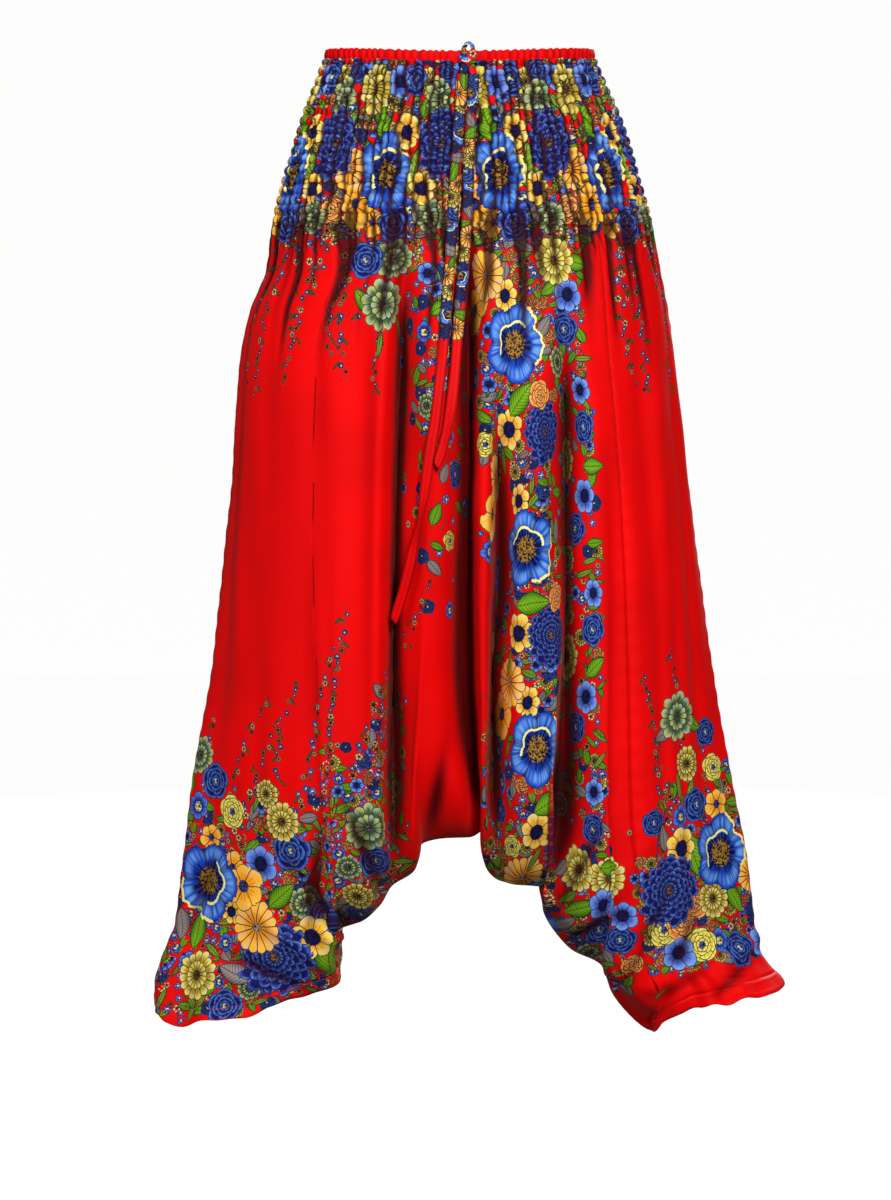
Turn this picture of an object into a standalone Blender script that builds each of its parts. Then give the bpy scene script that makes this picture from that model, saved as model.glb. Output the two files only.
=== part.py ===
"""Harem pants: a shirred waist, a dropped crotch, two open ankles and a flat waist tie.

The pants keep the hollow form they have when worn by a general figure standing with its feet
apart. Metres, +Z up, the front faces -Y, and the wearer's right leg is at -X. The origin is the
middle of the waist opening, level with the top edge.

The cloth is one surface, found from two numbers. "Share" runs across a face, from 0 at the side
seam over the wearer's right leg to 1 at the side seam over the left leg. "Level" runs down it,
from -1 at the waist to 0 at the yoke's foot and on to 1 at the lower edge, which is the two
ankle openings and the inside leg seam between them. Each piece is a patch of that surface with
a Solidify modifier.
"""

from math import pi

import bpy
import numpy as np
from mathutils import Matrix

MM = 0.001

# Driving sizes, in metres.
CLOTH = 1.2 * MM
CASING_CLOTH = 3.0 * MM
SEAM_GAP = 0.3 * MM
LEAN_ROOM = 1.1  # how far two walls that lean together are kept apart, in thicknesses of cloth
CASING_DEPTH = 9.5 * MM
YOKE_FOOT = 165 * MM
HEM_DEPTH = 12 * MM
ANKLE_FRONT = 62 * MM
ANKLE_BACK = 66 * MM
TIE_WIDTH = 10 * MM
TIE_CLOTH = 1.5 * MM

# How the front and back come together above the lower edge, and at the ankles' corners.
CLOSING_AT_INSEAM = 105 * MM
CLOSING_AT_ANKLE = 150 * MM
CORNER_WIDTH = 0.04  # the share on either side of a corner where one way of closing turns to the other
CORNER_FLAT_FROM = 0.7  # how far closed they are where they begin to close along a straight line there
CORNER_FLAT_TO = 0.95
CORNER_APART = 0.9 * MM  # half the gap between front and back that is left at a corner
CORNER_ROOM = 0.5 * MM  # how much further the hem and the panel are each pulled back there
HEM_ROOM = 0.15 * MM  # and along the rest of the hem
# Between the legs the cloth falls back from the line of the thighs.
FALL_BACK = 0.34
FALL_BACK_FROM = 300 * MM
FALL_BACK_TO = 720 * MM
FALL_BACK_WIDTH = 0.17
# Below this level the cloth is drawn over sideways to meet its lower edge.
DRAWN_FROM = 0.25

# Level sections: how far down they are, where the side seams stand over the wearer's right and
# left leg, and how far the front and the back stand out from the side seams. Millimetres.
SECTIONS = (
    # name            drop  right   left  front  back
    ("waist",            0, -123,   122,    92,   98),
    ("upper yoke",      28, -134,   134,    97,  104),
    ("mid yoke",        62, -147,   149,   104,  116),
    ("hip",            100, -159,   162,   110,  128),
    ("lower yoke",     138, -170,   173,   115,  136),
    ("yoke foot",      165, -177,   182,   118,  139),
    ("seat",           205, -183,   190,   122,  143),
    ("gathers spread", 245, -199,   197,   127,  148),
    ("upper thigh",    300, -209,   204,   132,  152),
    ("thigh",          400, -216,   216,   137,  153),
    ("knee",           480, -225,   227,   138,  150),
    ("under knee",     590, -238,   243,   135,  144),
    ("calf",           680, -255,   259,   129,  136),
    ("low calf",       765, -266,   276,   119,  125),
    ("shin",           830, -275,   285,   107,  111),
    ("low shin",       856, -284,   290,   101,  104),
    ("above ankle",    887, -292,   314,    94,   97),
    ("ankle",          924, -293,   322,    86,   89),
)

RIGHT, LEFT, FRONT, BACK = 2, 3, 4, 5  # the columns of SECTIONS

# The lower edge from one side seam to the other. Millimetres, with the share of the face.
LOWER_EDGE = (
    # name                         share     x   drop
    ("right hem, outer end",        0.00,  -293,  911),
    ("right hem, lowest",           0.02,  -281,  920),
    ("right hem, over the foot",    0.055, -253,  916),
    ("right hem, middle",           0.115, -208,  909),
    ("right hem, rising",           0.15,  -182,  900),
    ("right hem, inner part",       0.205, -143,  889),
    ("right ankle corner",          0.245, -115,  883),
    ("right inseam, foot",          0.30,  -117,  838),
    ("right inseam, low",           0.335,  -94,  827),
    ("right inseam, middle",        0.37,   -76,  811),
    ("right inseam, high",          0.40,   -66,  794),
    ("right of the crotch",         0.435,  -43,  777),
    ("crotch, right end",           0.46,   -37,  753),
    ("crotch, middle",              0.485,  -14,  747),
    ("crotch, left part",           0.51,    10,  746),
    ("crotch, left end",            0.53,    21,  740),
    ("band, inner drop",            0.555,   24,  772),
    ("band, low part",              0.585,   38,  788),
    ("band, outer end",             0.665,   83,  797),
    ("left inseam, high",           0.69,    80,  815),
    ("left inseam, middle",         0.72,   106,  854),
    ("left inseam, step",           0.745,  137,  871),
    ("left inseam, low",            0.76,   147,  898),
    ("left ankle corner",           0.785,  184,  934),
    ("left hem, folded part",       0.80,   194,  920),
    ("left hem, inner part",        0.825,  209,  907),
    ("left hem, middle",            0.89,   246,  896),
    ("left hem, over the foot",     0.95,   282,  891),
    ("left hem, outer end",         1.00,   314,  887),
)
X, DROP = 2, 3  # the columns of LOWER_EDGE
RIGHT_CORNER = 0.245
LEFT_CORNER = 0.785
FRONT_SEAM = LEFT_CORNER
BACK_SEAM = 0.5
FRONT_DIP = 7 * MM  # how much lower the waist's edge is at the centre front

# The front seam ends at the left ankle's corner. Above it, it strays to either side.
FRONT_SEAM_STRAY = (
    # name        level  share
    ("yoke foot",  0.0,  -0.012),
    ("calf",       0.75, -0.010),
    ("shin",       0.92,  0.007),
    ("hem seam",   0.98,  0.0),
)

# The deep folds: their x at four drops, their depth, and their half width on the side of the
# wearer's right (steep or soft) and left leg. Millimetres.
FRONT_FOLDS = (
    # name              x1  drop1   x2 drop2   x3 drop3   x4 drop4  deep right left
    ("right of the bag", -51, 202, -59, 388,  -64, 650,  -63, 783,   24,    9,  15),
    ("left of the bag",    5, 168,   9, 370,    5, 562,   22, 738,   17,   12,   9),
    ("inner band",        33, 317,  34, 463,   29, 595,   31, 752,   12,    8,  10),
    ("outer band",        94, 260,  97, 494,   95, 683,   82, 790,   18,   11,  12),
)
BACK_FOLDS = (
    # name              x1  drop1   x2 drop2   x3 drop3   x4 drop4  deep right left
    ("right thigh",     -98, 230, -108, 420, -116, 620, -112, 800,   14,   12,  14),
    ("right seat",      -48, 190,  -52, 400,  -60, 640,  -62, 790,   20,   13,  10),
    ("middle seat",      19, 200,   21, 400,   18, 600,   19, 735,   15,   12,  12),
    ("left seat",        58, 190,   66, 410,   72, 650,   74, 790,   21,   10,  14),
    ("left thigh",      108, 240,  118, 430,  128, 640,  134, 850,   15,   13,  12),
)
FOLD_STARTS_OVER = 110 * MM
FOLD_ENDS_OVER = 60 * MM
FOLD_LEFT_AT_END = 0.5  # the share of a fold's depth that is left at its lower end
LIP = 0.3  # the rise beside a fold, as a share of its depth
LIP_AWAY = 2.2  # how far off it is, in half widths of the fold
LIP_WIDTH = 1.2
CLOTH_ROUND = 1.35  # the cloth round one face, for each metre between the side seams
FOLD_RANGE = np.linspace(0.2, 0.86, 133)  # the shares among which a fold's line is looked for
LEVELS_DRAWN = np.linspace(-1, 1, 121)
USUAL_LEVEL = 90  # the one of those levels whose shares give the folds' usual columns

# The free ends of the tie: points down the middle of each, from the knot. Millimetres.
LONG_END = (
    (1.5, -101, -28.2),
    (0, -106, -52),
    (-2, -111.5, -81),
    (-4, -115.7, -110),
    (-6, -119.5, -139),
    (-8, -123.5, -169),
    (-10, -129.5, -202),
    (-12.5, -137, -234),
    (-15.5, -143, -269),
    (-19, -146, -306),
    (-23, -146.5, -341),
    (-28, -146, -372),
    (-32.5, -143.5, -405),
    (-38, -140, -437),
    (-45, -134.5, -470),
    (-52, -128, -498),
    (-61.5, -120, -528),
)
SHORT_END = (
    (12, -101, -28.2),
    (11, -106, -52),
    (9, -111.5, -81),
    (7.5, -115.7, -110),
    (6.5, -119.5, -139),
    (5, -123, -169),
    (3, -127, -202),
    (0, -132.5, -234),
    (-3, -138.5, -269),
    (-6, -144, -306),
    (-10.5, -148.8, -341),
    (-16, -150.5, -366),
    (-22, -150.5, -384),
)
TIP_WIDTH = 0.7  # the width of the tie at its cut tips, as a share of its own
KNOT_MIDDLE = (7, -99.9, -16)
KNOT_SIZE = (19, 9, 23)
KNOT_CAGE = 1.22  # the cage that shrinks to the knot's size as it is rounded

# Columns and rows of the mesh.
FOLD_COLUMNS = (-0.038, -0.016, 0.0, 0.016, 0.036)
PLAIN_FRONT_COLUMNS = (0.0, 0.012, 0.035, 0.07, 0.12, 0.17, 0.21, 0.27, 0.30, 0.325, 0.44, 0.46, 0.62,
                       0.715, 0.745, 0.775, 0.80, 0.83, 0.86, 0.90, 0.94, 0.965, 0.988, 1.0)
PLAIN_BACK_COLUMNS = (0.0, 0.012, 0.035, 0.07, 0.12, 0.165, 0.21, 0.27, 0.5, 0.775, 0.81, 0.85, 0.89,
                      0.93, 0.965, 0.988, 1.0)
CLOSEST_COLUMNS = 0.0085
YOKE_ROWS = 5
CASING_COLUMNS = 33
PANEL_ROWS = (0.0, 0.05, 0.11, 0.18, 0.26, 0.34, 0.42, 0.50, 0.58, 0.66, 0.73, 0.79, 0.84,
              0.885, 0.92, 0.95, 0.975, 0.99, 1.0)

RED = (0.80, 0.005, 0.008, 1.0)
DARK_RED = (0.50, 0.004, 0.008, 1.0)
NAVY = (0.02, 0.03, 0.16, 1.0)
AMBER = (0.85, 0.35, 0.03, 1.0)


def curve_through(at, xs, ys):
    """A smooth curve through the points that never swings past them."""
    xs, ys = np.asarray(xs, float), np.asarray(ys, float)
    step, rise = np.diff(xs), np.diff(ys)
    chord = rise / step
    slope = np.concatenate([chord[:1], chord[:-1], chord[-1:]])
    before, after = chord[:-1], chord[1:]
    together = before * after > 0
    inner = np.zeros(len(before))
    inner[together] = 2 / (1 / before[together] + 1 / after[together])
    slope[1:-1] = inner
    at = np.clip(np.asarray(at, float), xs[0], xs[-1])
    k = np.clip(np.searchsorted(xs, at, side="right") - 1, 0, len(step) - 1)
    part = (at - xs[k]) / step[k]
    rest = 1 - part
    return (
        ys[k] * rest**2 * (1 + 2 * part)
        + ys[k + 1] * part**2 * (1 + 2 * rest)
        + step[k] * part * rest * (slope[k] * rest - slope[k + 1] * part)
    )


def ease(value, low, high):
    part = np.clip((value - low) / (high - low), 0, 1)
    return part * part * (3 - 2 * part)


def section(drop, column):
    """One column of SECTIONS at a drop, in metres."""
    drops = [row[1] * MM for row in SECTIONS]
    return curve_through(drop, drops, [row[column] * MM for row in SECTIONS])


def lower_edge(share, column):
    shares = [row[1] for row in LOWER_EDGE]
    return curve_through(share, shares, [row[column] * MM for row in LOWER_EDGE])


def drop_at(share, level):
    """How far below the waist a point is."""
    above = YOKE_FOOT * (1 + level)
    below = YOKE_FOOT + level * (lower_edge(share, DROP) - YOKE_FOOT)
    return np.where(level < 0, above, below)


def angle_at(share, drop, back):
    """The angle round a section's ellipse that gives equal lengths of cloth to equal shares."""
    width = (section(drop, LEFT) - section(drop, RIGHT)) / 2
    flatness = section(drop, BACK if back else FRONT) / width
    return pi * share + (1 - flatness) / (2 + 2 * flatness) * np.sin(2 * pi * share)


def across(share, drop, back):
    right, left = section(drop, RIGHT), section(drop, LEFT)
    return (right + left) / 2 - (left - right) / 2 * np.cos(angle_at(share, drop, back))


def x_at(share, level, back):
    """Sideways place: the sections above, drawn over to the lower edge further down."""
    drawn = ease(level, DRAWN_FROM, 1.0)
    to_edge = lower_edge(share, X) - across(share, lower_edge(share, DROP), back)
    return across(share, drop_at(share, level), back) + drawn * to_edge


def ankle_depth(share, back):
    """Half the depth of an ankle opening, and nothing along the inside leg seam."""
    half = ANKLE_BACK if back else ANKLE_FRONT
    right = 1 - (share / RIGHT_CORNER * 2 - 1) ** 2
    left = 1 - ((share - LEFT_CORNER) / (1 - LEFT_CORNER) * 2 - 1) ** 2
    return half * np.sqrt(np.clip(right, 0, 1)) + half * np.sqrt(np.clip(left, 0, 1))


def depth_at(share, level, back):
    """How far the cloth stands from the plane of the side seams."""
    drop = drop_at(share, level)
    full = section(drop, BACK if back else FRONT) * np.sin(angle_at(share, drop, back))
    between_legs = np.exp(-(((share - 0.5) / FALL_BACK_WIDTH) ** 2))
    full = full * (1 - FALL_BACK * between_legs * ease(drop, FALL_BACK_FROM, FALL_BACK_TO))
    past_right = ease(share, RIGHT_CORNER - CORNER_WIDTH, RIGHT_CORNER + CORNER_WIDTH)
    past_left = ease(share, LEFT_CORNER - CORNER_WIDTH, LEFT_CORNER + CORNER_WIDTH)
    closing = CLOSING_AT_ANKLE + (CLOSING_AT_INSEAM - CLOSING_AT_ANKLE) * (past_right - past_left)
    closed = np.clip(1 - (lower_edge(share, DROP) - drop) / closing, 0, 1)
    near_corner = sum(np.exp(-(((share - c) / CORNER_WIDTH) ** 2)) for c in (RIGHT_CORNER, LEFT_CORNER))
    roundness = 2 - near_corner * ease(closed, CORNER_FLAT_FROM, CORNER_FLAT_TO)
    held_open = (1 - closed**roundness) ** (1 / roundness)
    return full * held_open + ankle_depth(share, back) * (1 - held_open)


def fold_line(fold, back):
    """The share at which a fold crosses each drawn level."""
    xs, drops = [v * MM for v in fold[1:9:2]], [v * MM for v in fold[2:9:2]]
    found = []
    for level in LEVELS_DRAWN:
        row = np.full(FOLD_RANGE.shape, level)
        line = curve_through(drop_at(FOLD_RANGE, row), drops, xs)
        found.append(np.interp(0, x_at(FOLD_RANGE, row, back) - line, FOLD_RANGE))
    return np.array(found)


def fold_depth(fold, drop):
    start, end = fold[2] * MM, fold[8] * MM
    begins = ease(drop, start - FOLD_STARTS_OVER / 3, start + FOLD_STARTS_OVER)
    ends = ease(drop, end - FOLD_ENDS_OVER, end)
    return fold[9] * MM * begins * (1 - (1 - FOLD_LEFT_AT_END) * ends)


FOLD_LINES = {}  # for each face, the shares of its folds at LEVELS_DRAWN


def lay_folds():
    for back, folds in ((False, FRONT_FOLDS), (True, BACK_FOLDS)):
        FOLD_LINES[back] = [fold_line(fold, back) for fold in folds]


def usual_shares(back):
    return [line[USUAL_LEVEL] for line in FOLD_LINES[back]]


def corner_share(level, back):
    """The share of the left ankle's corner and, above it, of the front seam."""
    if back:
        return LEFT_CORNER
    levels = [row[1] for row in FRONT_SEAM_STRAY]
    return LEFT_CORNER + float(curve_through(level, levels, [row[2] for row in FRONT_SEAM_STRAY]))


def anchors(level, back):
    """Columns that follow the folds and the seam: their usual shares, and those on this row."""
    here = [np.interp(level, LEVELS_DRAWN, line) for line in FOLD_LINES[back]]
    usual = np.array([0.0, RIGHT_CORNER, LEFT_CORNER, 1.0, *usual_shares(back)])
    here = np.array([0.0, RIGHT_CORNER, corner_share(level, back), 1.0, *here])
    order = np.argsort(usual)
    return usual[order], here[order]


def cloth_point(column, level, back):
    """A point of the cloth's middle surface, for a column and a row of one face."""
    usual, here = anchors(level, back)
    share = np.array([np.interp(column, usual, here)])
    level = np.array([level])
    drop = drop_at(share, level)
    x, depth = x_at(share, level, back), depth_at(share, level, back)
    span = section(drop, LEFT) - section(drop, RIGHT)
    rise = 0.0
    for fold, line in zip(BACK_FOLDS if back else FRONT_FOLDS, FOLD_LINES[back], strict=True):
        away = (share - np.interp(level, LEVELS_DRAWN, line)) * CLOTH_ROUND * span
        wide = np.where(away < 0, fold[10], fold[11]) * MM
        trough = np.exp(-((away / wide) ** 2))
        lips = LIP * np.exp(-(((np.abs(away) - LIP_AWAY * wide) / (LIP_WIDTH * wide)) ** 2))
        rise = rise + fold_depth(fold, drop) * (lips - trough)
    still_open = np.clip((lower_edge(share, DROP) - drop) / CLOSING_AT_INSEAM, 0, 1)
    depth = np.maximum(depth + rise * np.sqrt(still_open), 0)
    dip = 0 if back else FRONT_DIP * np.clip(-level, 0, 1) * np.sin(pi * share) ** 2
    return float(x[0]), float(depth[0]) * (1 if back else -1), -float((drop + dip)[0])


def columns(plain, back):
    """The mesh's columns on one face: plain ones, and close ones at each fold."""
    folds = [round(share, 4) for share in usual_shares(back)]
    near = [round(fold + step, 4) for fold in folds for step in FOLD_COLUMNS]
    fixed = {RIGHT_CORNER, LEFT_CORNER, BACK_SEAM, *folds}
    kept = []
    for c in sorted({*plain, *near, RIGHT_CORNER, LEFT_CORNER}):
        if kept and c - kept[-1] < CLOSEST_COLUMNS:
            if c not in fixed:
                continue
            if kept[-1] not in fixed:
                kept.pop()
        kept.append(c)
    return kept


def new_mesh(name, points, faces, thickness, colour):
    """An object of these faces, with a wall of the cloth's thickness and its own material."""
    mesh = bpy.data.meshes.new(name)
    mesh.from_pydata(points, [], faces)
    mesh.validate()
    mesh.shade_smooth()
    piece = bpy.data.objects.new(name, mesh)
    bpy.data.collections["harem_pants"].objects.link(piece)
    wall = piece.modifiers.new("cloth", "SOLIDIFY")
    wall.thickness = thickness
    wall.offset = 0
    finish(piece, colour)
    return piece


def finish(piece, colour):
    material = bpy.data.materials.new(piece.name)
    material.use_nodes = True
    shader = material.node_tree.nodes["Principled BSDF"]
    shader.inputs["Base Color"].default_value = colour
    shader.inputs["Roughness"].default_value = 0.75
    shader.inputs["Metallic"].default_value = 0.0
    piece.data.materials.append(material)


def grid(rows, loop=False):
    """Points and faces of a patch whose rows are lists of points. Faces look outwards."""
    wide = len(rows[0])
    points = [point for row in rows for point in row]
    steps = range(wide if loop else wide - 1)
    faces = [
        (r * wide + c, (r + 1) * wide + c, (r + 1) * wide + (c + 1) % wide, r * wide + (c + 1) % wide)
        for r in range(len(rows) - 1)
        for c in steps
    ]
    return points, faces


def hem_share(column):
    """The part of a column below the yoke that its ankle hem takes."""
    if RIGHT_CORNER < column < LEFT_CORNER:
        return 0.0
    length = float(lower_edge(np.array([column]), DROP)[0]) - YOKE_FOOT
    return HEM_DEPTH / length


def panel_rows(column_list, back):
    """The points of a piece below the yoke, down to its hems and the inside leg seam."""
    rows = []
    for level in PANEL_ROWS:
        row = []
        for column in column_list:
            x, y, z = cloth_point(column, level * (1 - hem_share(column)), back)
            if level == 0:
                z -= SEAM_GAP / 2
            row.append([x, y, z])
        rows.append(row)
    return np.array(rows)


def hem_room(column_list):
    """Extra room where a seam runs slantwise to the columns, as the hems' seams do."""
    corners = (RIGHT_CORNER, LEFT_CORNER)
    rooms = [CORNER_ROOM if c in corners else HEM_ROOM if hem_share(c) else 0.0 for c in column_list]
    return np.array(rooms)[:, None]


def pulled_back(edge, inside, beyond, room=0.0):
    """A seam's edge moved into its own piece, far enough that the two walls keep their gap.

    Where the cloth turns at a seam, its thickness leans the two edges together.
    """
    way = inside - edge
    way /= np.linalg.norm(way, axis=1)[:, None]
    on = edge - beyond
    on /= np.linalg.norm(on, axis=1)[:, None]
    lean = np.linalg.norm(way - on, axis=1)[:, None] / 2
    return edge + way * (SEAM_GAP / 2 + CLOTH * LEAN_ROOM * lean + room)


def seamed(rows, column_list, back, make_rows):
    """Pulls both side edges of a patch back from their seams."""
    moved = rows.copy()
    for end, inner in ((0, 1), (-1, -2)):
        if column_list[end] in (0.0, 1.0):
            beyond = rows[:, inner] * (1, -1, 1)
        else:
            next_column = 2 * column_list[end] - column_list[inner]
            beyond = make_rows([next_column], back)[:, 0]
        moved[:, end] = pulled_back(rows[:, end], rows[:, inner], beyond)
    return moved


def panel(name, column_list, back, colour):
    rows = panel_rows(column_list, back)
    moved = seamed(rows, column_list, back, panel_rows)
    at_hem = np.array([hem_share(c) > 0 for c in column_list])
    over_the_inseam = rows[-2] * (1, -1, 1)
    under_the_hem = np.array([cloth_point(c, 1, back) for c in column_list])
    beyond = np.where(at_hem[:, None], under_the_hem, over_the_inseam)
    moved[-1] += pulled_back(rows[-1], rows[-2], beyond, hem_room(column_list)) - rows[-1]
    return patch(name, moved, back, colour)


def yoke_rows(column_list, back):
    top, foot = -1 + (CASING_DEPTH + SEAM_GAP) / YOKE_FOOT, -SEAM_GAP / 2 / YOKE_FOOT
    levels = np.linspace(top, foot, YOKE_ROWS + 1)
    return np.array([[cloth_point(c, level, back) for c in column_list] for level in levels])


def yoke(name, column_list, back, colour):
    moved = seamed(yoke_rows(column_list, back), column_list, back, yoke_rows)
    return patch(name, moved, back, colour)


def patch(name, rows, back, colour):
    if back:
        rows = rows[:, ::-1]
    points, faces = grid(rows.tolist())
    return new_mesh(name, points, faces, CLOTH, colour)


def casing(name, colour):
    """The elastic casing: an upright band on the yoke's top edge."""
    shares = np.linspace(0, 1, CASING_COLUMNS)
    places = [(c, False) for c in shares] + [(c, True) for c in shares[-2:0:-1]]
    top, middle, foot = (-1 + part * CASING_DEPTH / YOKE_FOOT for part in (0, 0.5, 1))
    ring = [cloth_point(c, middle, back)[:2] for c, back in places]
    rows = [
        [(x, y, cloth_point(c, level, back)[2]) for (x, y), (c, back) in zip(ring, places, strict=True)]
        for level in (top, foot)
    ]
    points, faces = grid(rows, loop=True)
    return new_mesh(name, points, faces, CASING_CLOTH, colour)


def hem(name, front_columns, back_columns, colour):
    """A turned hem: a band all round one ankle opening."""
    places = [(c, False) for c in front_columns] + [(c, True) for c in back_columns]

    def ring(up):
        """The band's points, so many hem depths above the lower edge."""
        points = np.array([cloth_point(c, 1 - up * hem_share(c), back) for c, back in places])
        apart = np.array([CORNER_APART if back else -CORNER_APART for c, back in places])
        points[:, 1] = np.where(abs(points[:, 1]) < CORNER_APART, apart, points[:, 1])
        return points

    top = pulled_back(ring(1.0), ring(0.5), ring(2.0), hem_room([c for c, back in places]))
    points, faces = grid([r.tolist() for r in (top, ring(0.5), ring(0.0))], loop=True)
    return new_mesh(name, points, faces, CLOTH, colour)


def strap(name, route, colour):
    """A flat end of the tie: a ribbon along its route, pointed a little at its tip."""
    middle = np.array(route) * MM
    along = np.gradient(middle, axis=0)
    side = np.cross(along, (0, 1, 0))
    side /= np.linalg.norm(side, axis=1)[:, None]
    half = np.full((len(middle), 1), TIE_WIDTH / 2)
    half[-1] *= TIP_WIDTH
    rows = [middle + side * half, middle - side * half]
    points = [point for pair in zip(*[r.tolist() for r in rows], strict=True) for point in pair]
    faces = [(2 * k, 2 * k + 1, 2 * k + 3, 2 * k + 2) for k in range(len(middle) - 1)]
    return new_mesh(name, points, faces, TIE_CLOTH, colour)


def knot(name, colour):
    """The knot: a rounded lump, from a coarse cage pinched at its middle."""
    bpy.ops.mesh.primitive_cube_add(size=KNOT_CAGE, location=[v * MM for v in KNOT_MIDDLE])
    piece = bpy.context.object
    piece.name = name
    piece.data.transform(Matrix.Diagonal([v * MM for v in KNOT_SIZE]).to_4x4())
    piece.data.shade_smooth()
    rounding = piece.modifiers.new("rounding", "SUBSURF")
    rounding.levels = rounding.render_levels = 2
    for home in list(piece.users_collection):
        home.objects.unlink(piece)
    bpy.data.collections["harem_pants"].objects.link(piece)
    finish(piece, colour)
    return piece


def build():
    for old in list(bpy.data.objects):
        bpy.data.objects.remove(old)
    pants = bpy.data.collections.new("harem_pants")
    bpy.context.scene.collection.children.link(pants)
    lay_folds()
    front = columns(PLAIN_FRONT_COLUMNS, False)
    back = columns(PLAIN_BACK_COLUMNS, True)
    casing("waist_casing", DARK_RED)
    yoke("yoke_front", front, False, NAVY)
    yoke("yoke_back", back, True, NAVY)
    panel("front_panel", [c for c in front if c <= FRONT_SEAM], False, RED)
    panel("front_side_panel", [c for c in front if c >= FRONT_SEAM], False, RED)
    panel("back_panel_right", [c for c in back if c <= BACK_SEAM], True, RED)
    panel("back_panel_left", [c for c in back if c >= BACK_SEAM], True, RED)
    hem(
        "ankle_hem_right",
        [c for c in front if c <= RIGHT_CORNER],
        [c for c in back[::-1] if 0 < c <= RIGHT_CORNER],
        DARK_RED,
    )
    hem(
        "ankle_hem_left",
        [c for c in front if c >= LEFT_CORNER],
        [c for c in back[::-1] if LEFT_CORNER <= c < 1],
        DARK_RED,
    )
    knot("tie_knot", NAVY)
    strap("tie_long_end", LONG_END, AMBER)
    strap("tie_short_end", SHORT_END, AMBER)


build()
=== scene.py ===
"""Harem pants, worn on nothing: the looks. Metres, +Z up, the front faces -Y."""

from math import cos, pi, sin, tau

import bpy
import numpy as np
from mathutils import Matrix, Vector


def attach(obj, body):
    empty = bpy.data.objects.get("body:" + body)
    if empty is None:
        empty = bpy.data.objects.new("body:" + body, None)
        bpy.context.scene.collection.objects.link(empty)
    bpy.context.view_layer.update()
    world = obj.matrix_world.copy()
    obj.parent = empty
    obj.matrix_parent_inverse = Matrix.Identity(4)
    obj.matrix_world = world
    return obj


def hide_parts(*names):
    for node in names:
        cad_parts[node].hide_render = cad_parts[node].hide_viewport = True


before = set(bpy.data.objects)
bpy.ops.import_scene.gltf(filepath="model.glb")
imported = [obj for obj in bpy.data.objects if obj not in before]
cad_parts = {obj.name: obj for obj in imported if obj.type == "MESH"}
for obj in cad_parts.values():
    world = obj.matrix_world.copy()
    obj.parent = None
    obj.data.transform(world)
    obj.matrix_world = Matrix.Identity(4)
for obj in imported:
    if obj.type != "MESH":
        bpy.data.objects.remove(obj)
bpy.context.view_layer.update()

# THE STUDIO
# A plain pale floor, well below the hems, that sweeps up into a wall all round. Soft lamps: the
# strongest stands in front on the right, as the shadows in the folds tell, and weaker ones
# light the left, the back and the top. The camera stands 3.2 m off, at the height of the seat.
MM = 0.001
CAMERA_PLACE = Vector((-0.0138, -3.2, -0.25))
CAMERA_AIM = Vector((-0.0138, 0, -0.518))
LENS_MM = 101
FLOOR_LEVEL = -1.06
FLOOR_FLAT = 4.5  # the radius of the level part
SWEEP_RADIUS = 2.5
WALL_TOP = 6.0
SWEEP_TURNS, SWEEP_RINGS = 96, 24
FLOOR_GREY = (0.01, 0.01, 0.01, 1)
FLOOR_WHITE = (1, 1, 0.995, 1)
FLOOR_GLOW = 0.975
FLOOR_ROUGHNESS = 0.9
SURROUND = (1, 1, 1, 1)
SURROUND_STRENGTH = 0.12
LAMPS = (
    # name          x     y     z    size  watts
    ("key lamp",    0.7, -3.2,  0.9,  0.7, 135),
    ("fill lamp",  -2.2, -2.4,  0.4,  1.4,  32),
    ("back lamp",   1.1,  2.9,  1.1,  1.4, 130),
    ("top lamp",   -0.5, -0.6,  2.3,  1.2,  10),
)


def put_in_scene(name, data):
    """A new object that holds the data."""
    made = bpy.data.objects.new(name, data)
    bpy.context.scene.collection.objects.link(made)
    return made


def aimed_from(place):
    """How a camera or a lamp turns there to face the thighs."""
    return (CAMERA_AIM - Vector(place)).to_track_quat("-Z", "Y").to_euler()


def plain_finish(name, colour, roughness):
    """A material of one colour, and the sockets of its shader."""
    finish = bpy.data.materials.new(name)
    finish.use_nodes = True
    sockets = finish.node_tree.nodes["Principled BSDF"].inputs
    sockets["Base Color"].default_value = colour
    sockets["Roughness"].default_value = roughness
    return finish, sockets


camera_lens = bpy.data.cameras.new("camera")
camera_lens.sensor_width = 36
camera_lens.lens = LENS_MM
camera = put_in_scene("camera", camera_lens)
camera.location = CAMERA_PLACE
camera.rotation_euler = aimed_from(CAMERA_PLACE)
bpy.context.scene.camera = camera
bpy.context.scene.view_settings.view_transform = "Standard"

surround = bpy.data.worlds.new("surround")
surround.use_nodes = True
surround_sockets = surround.node_tree.nodes["Background"].inputs
surround_sockets["Color"].default_value = SURROUND
surround_sockets["Strength"].default_value = SURROUND_STRENGTH
bpy.context.scene.world = surround
for name, x, y, z, size, watts in LAMPS:
    lamp = bpy.data.lights.new(name, "AREA")
    lamp.shape = "DISK"
    lamp.size = size
    lamp.energy = watts
    stand = put_in_scene(name, lamp)
    stand.location = (x, y, z)
    stand.rotation_euler = aimed_from((x, y, z))

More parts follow.
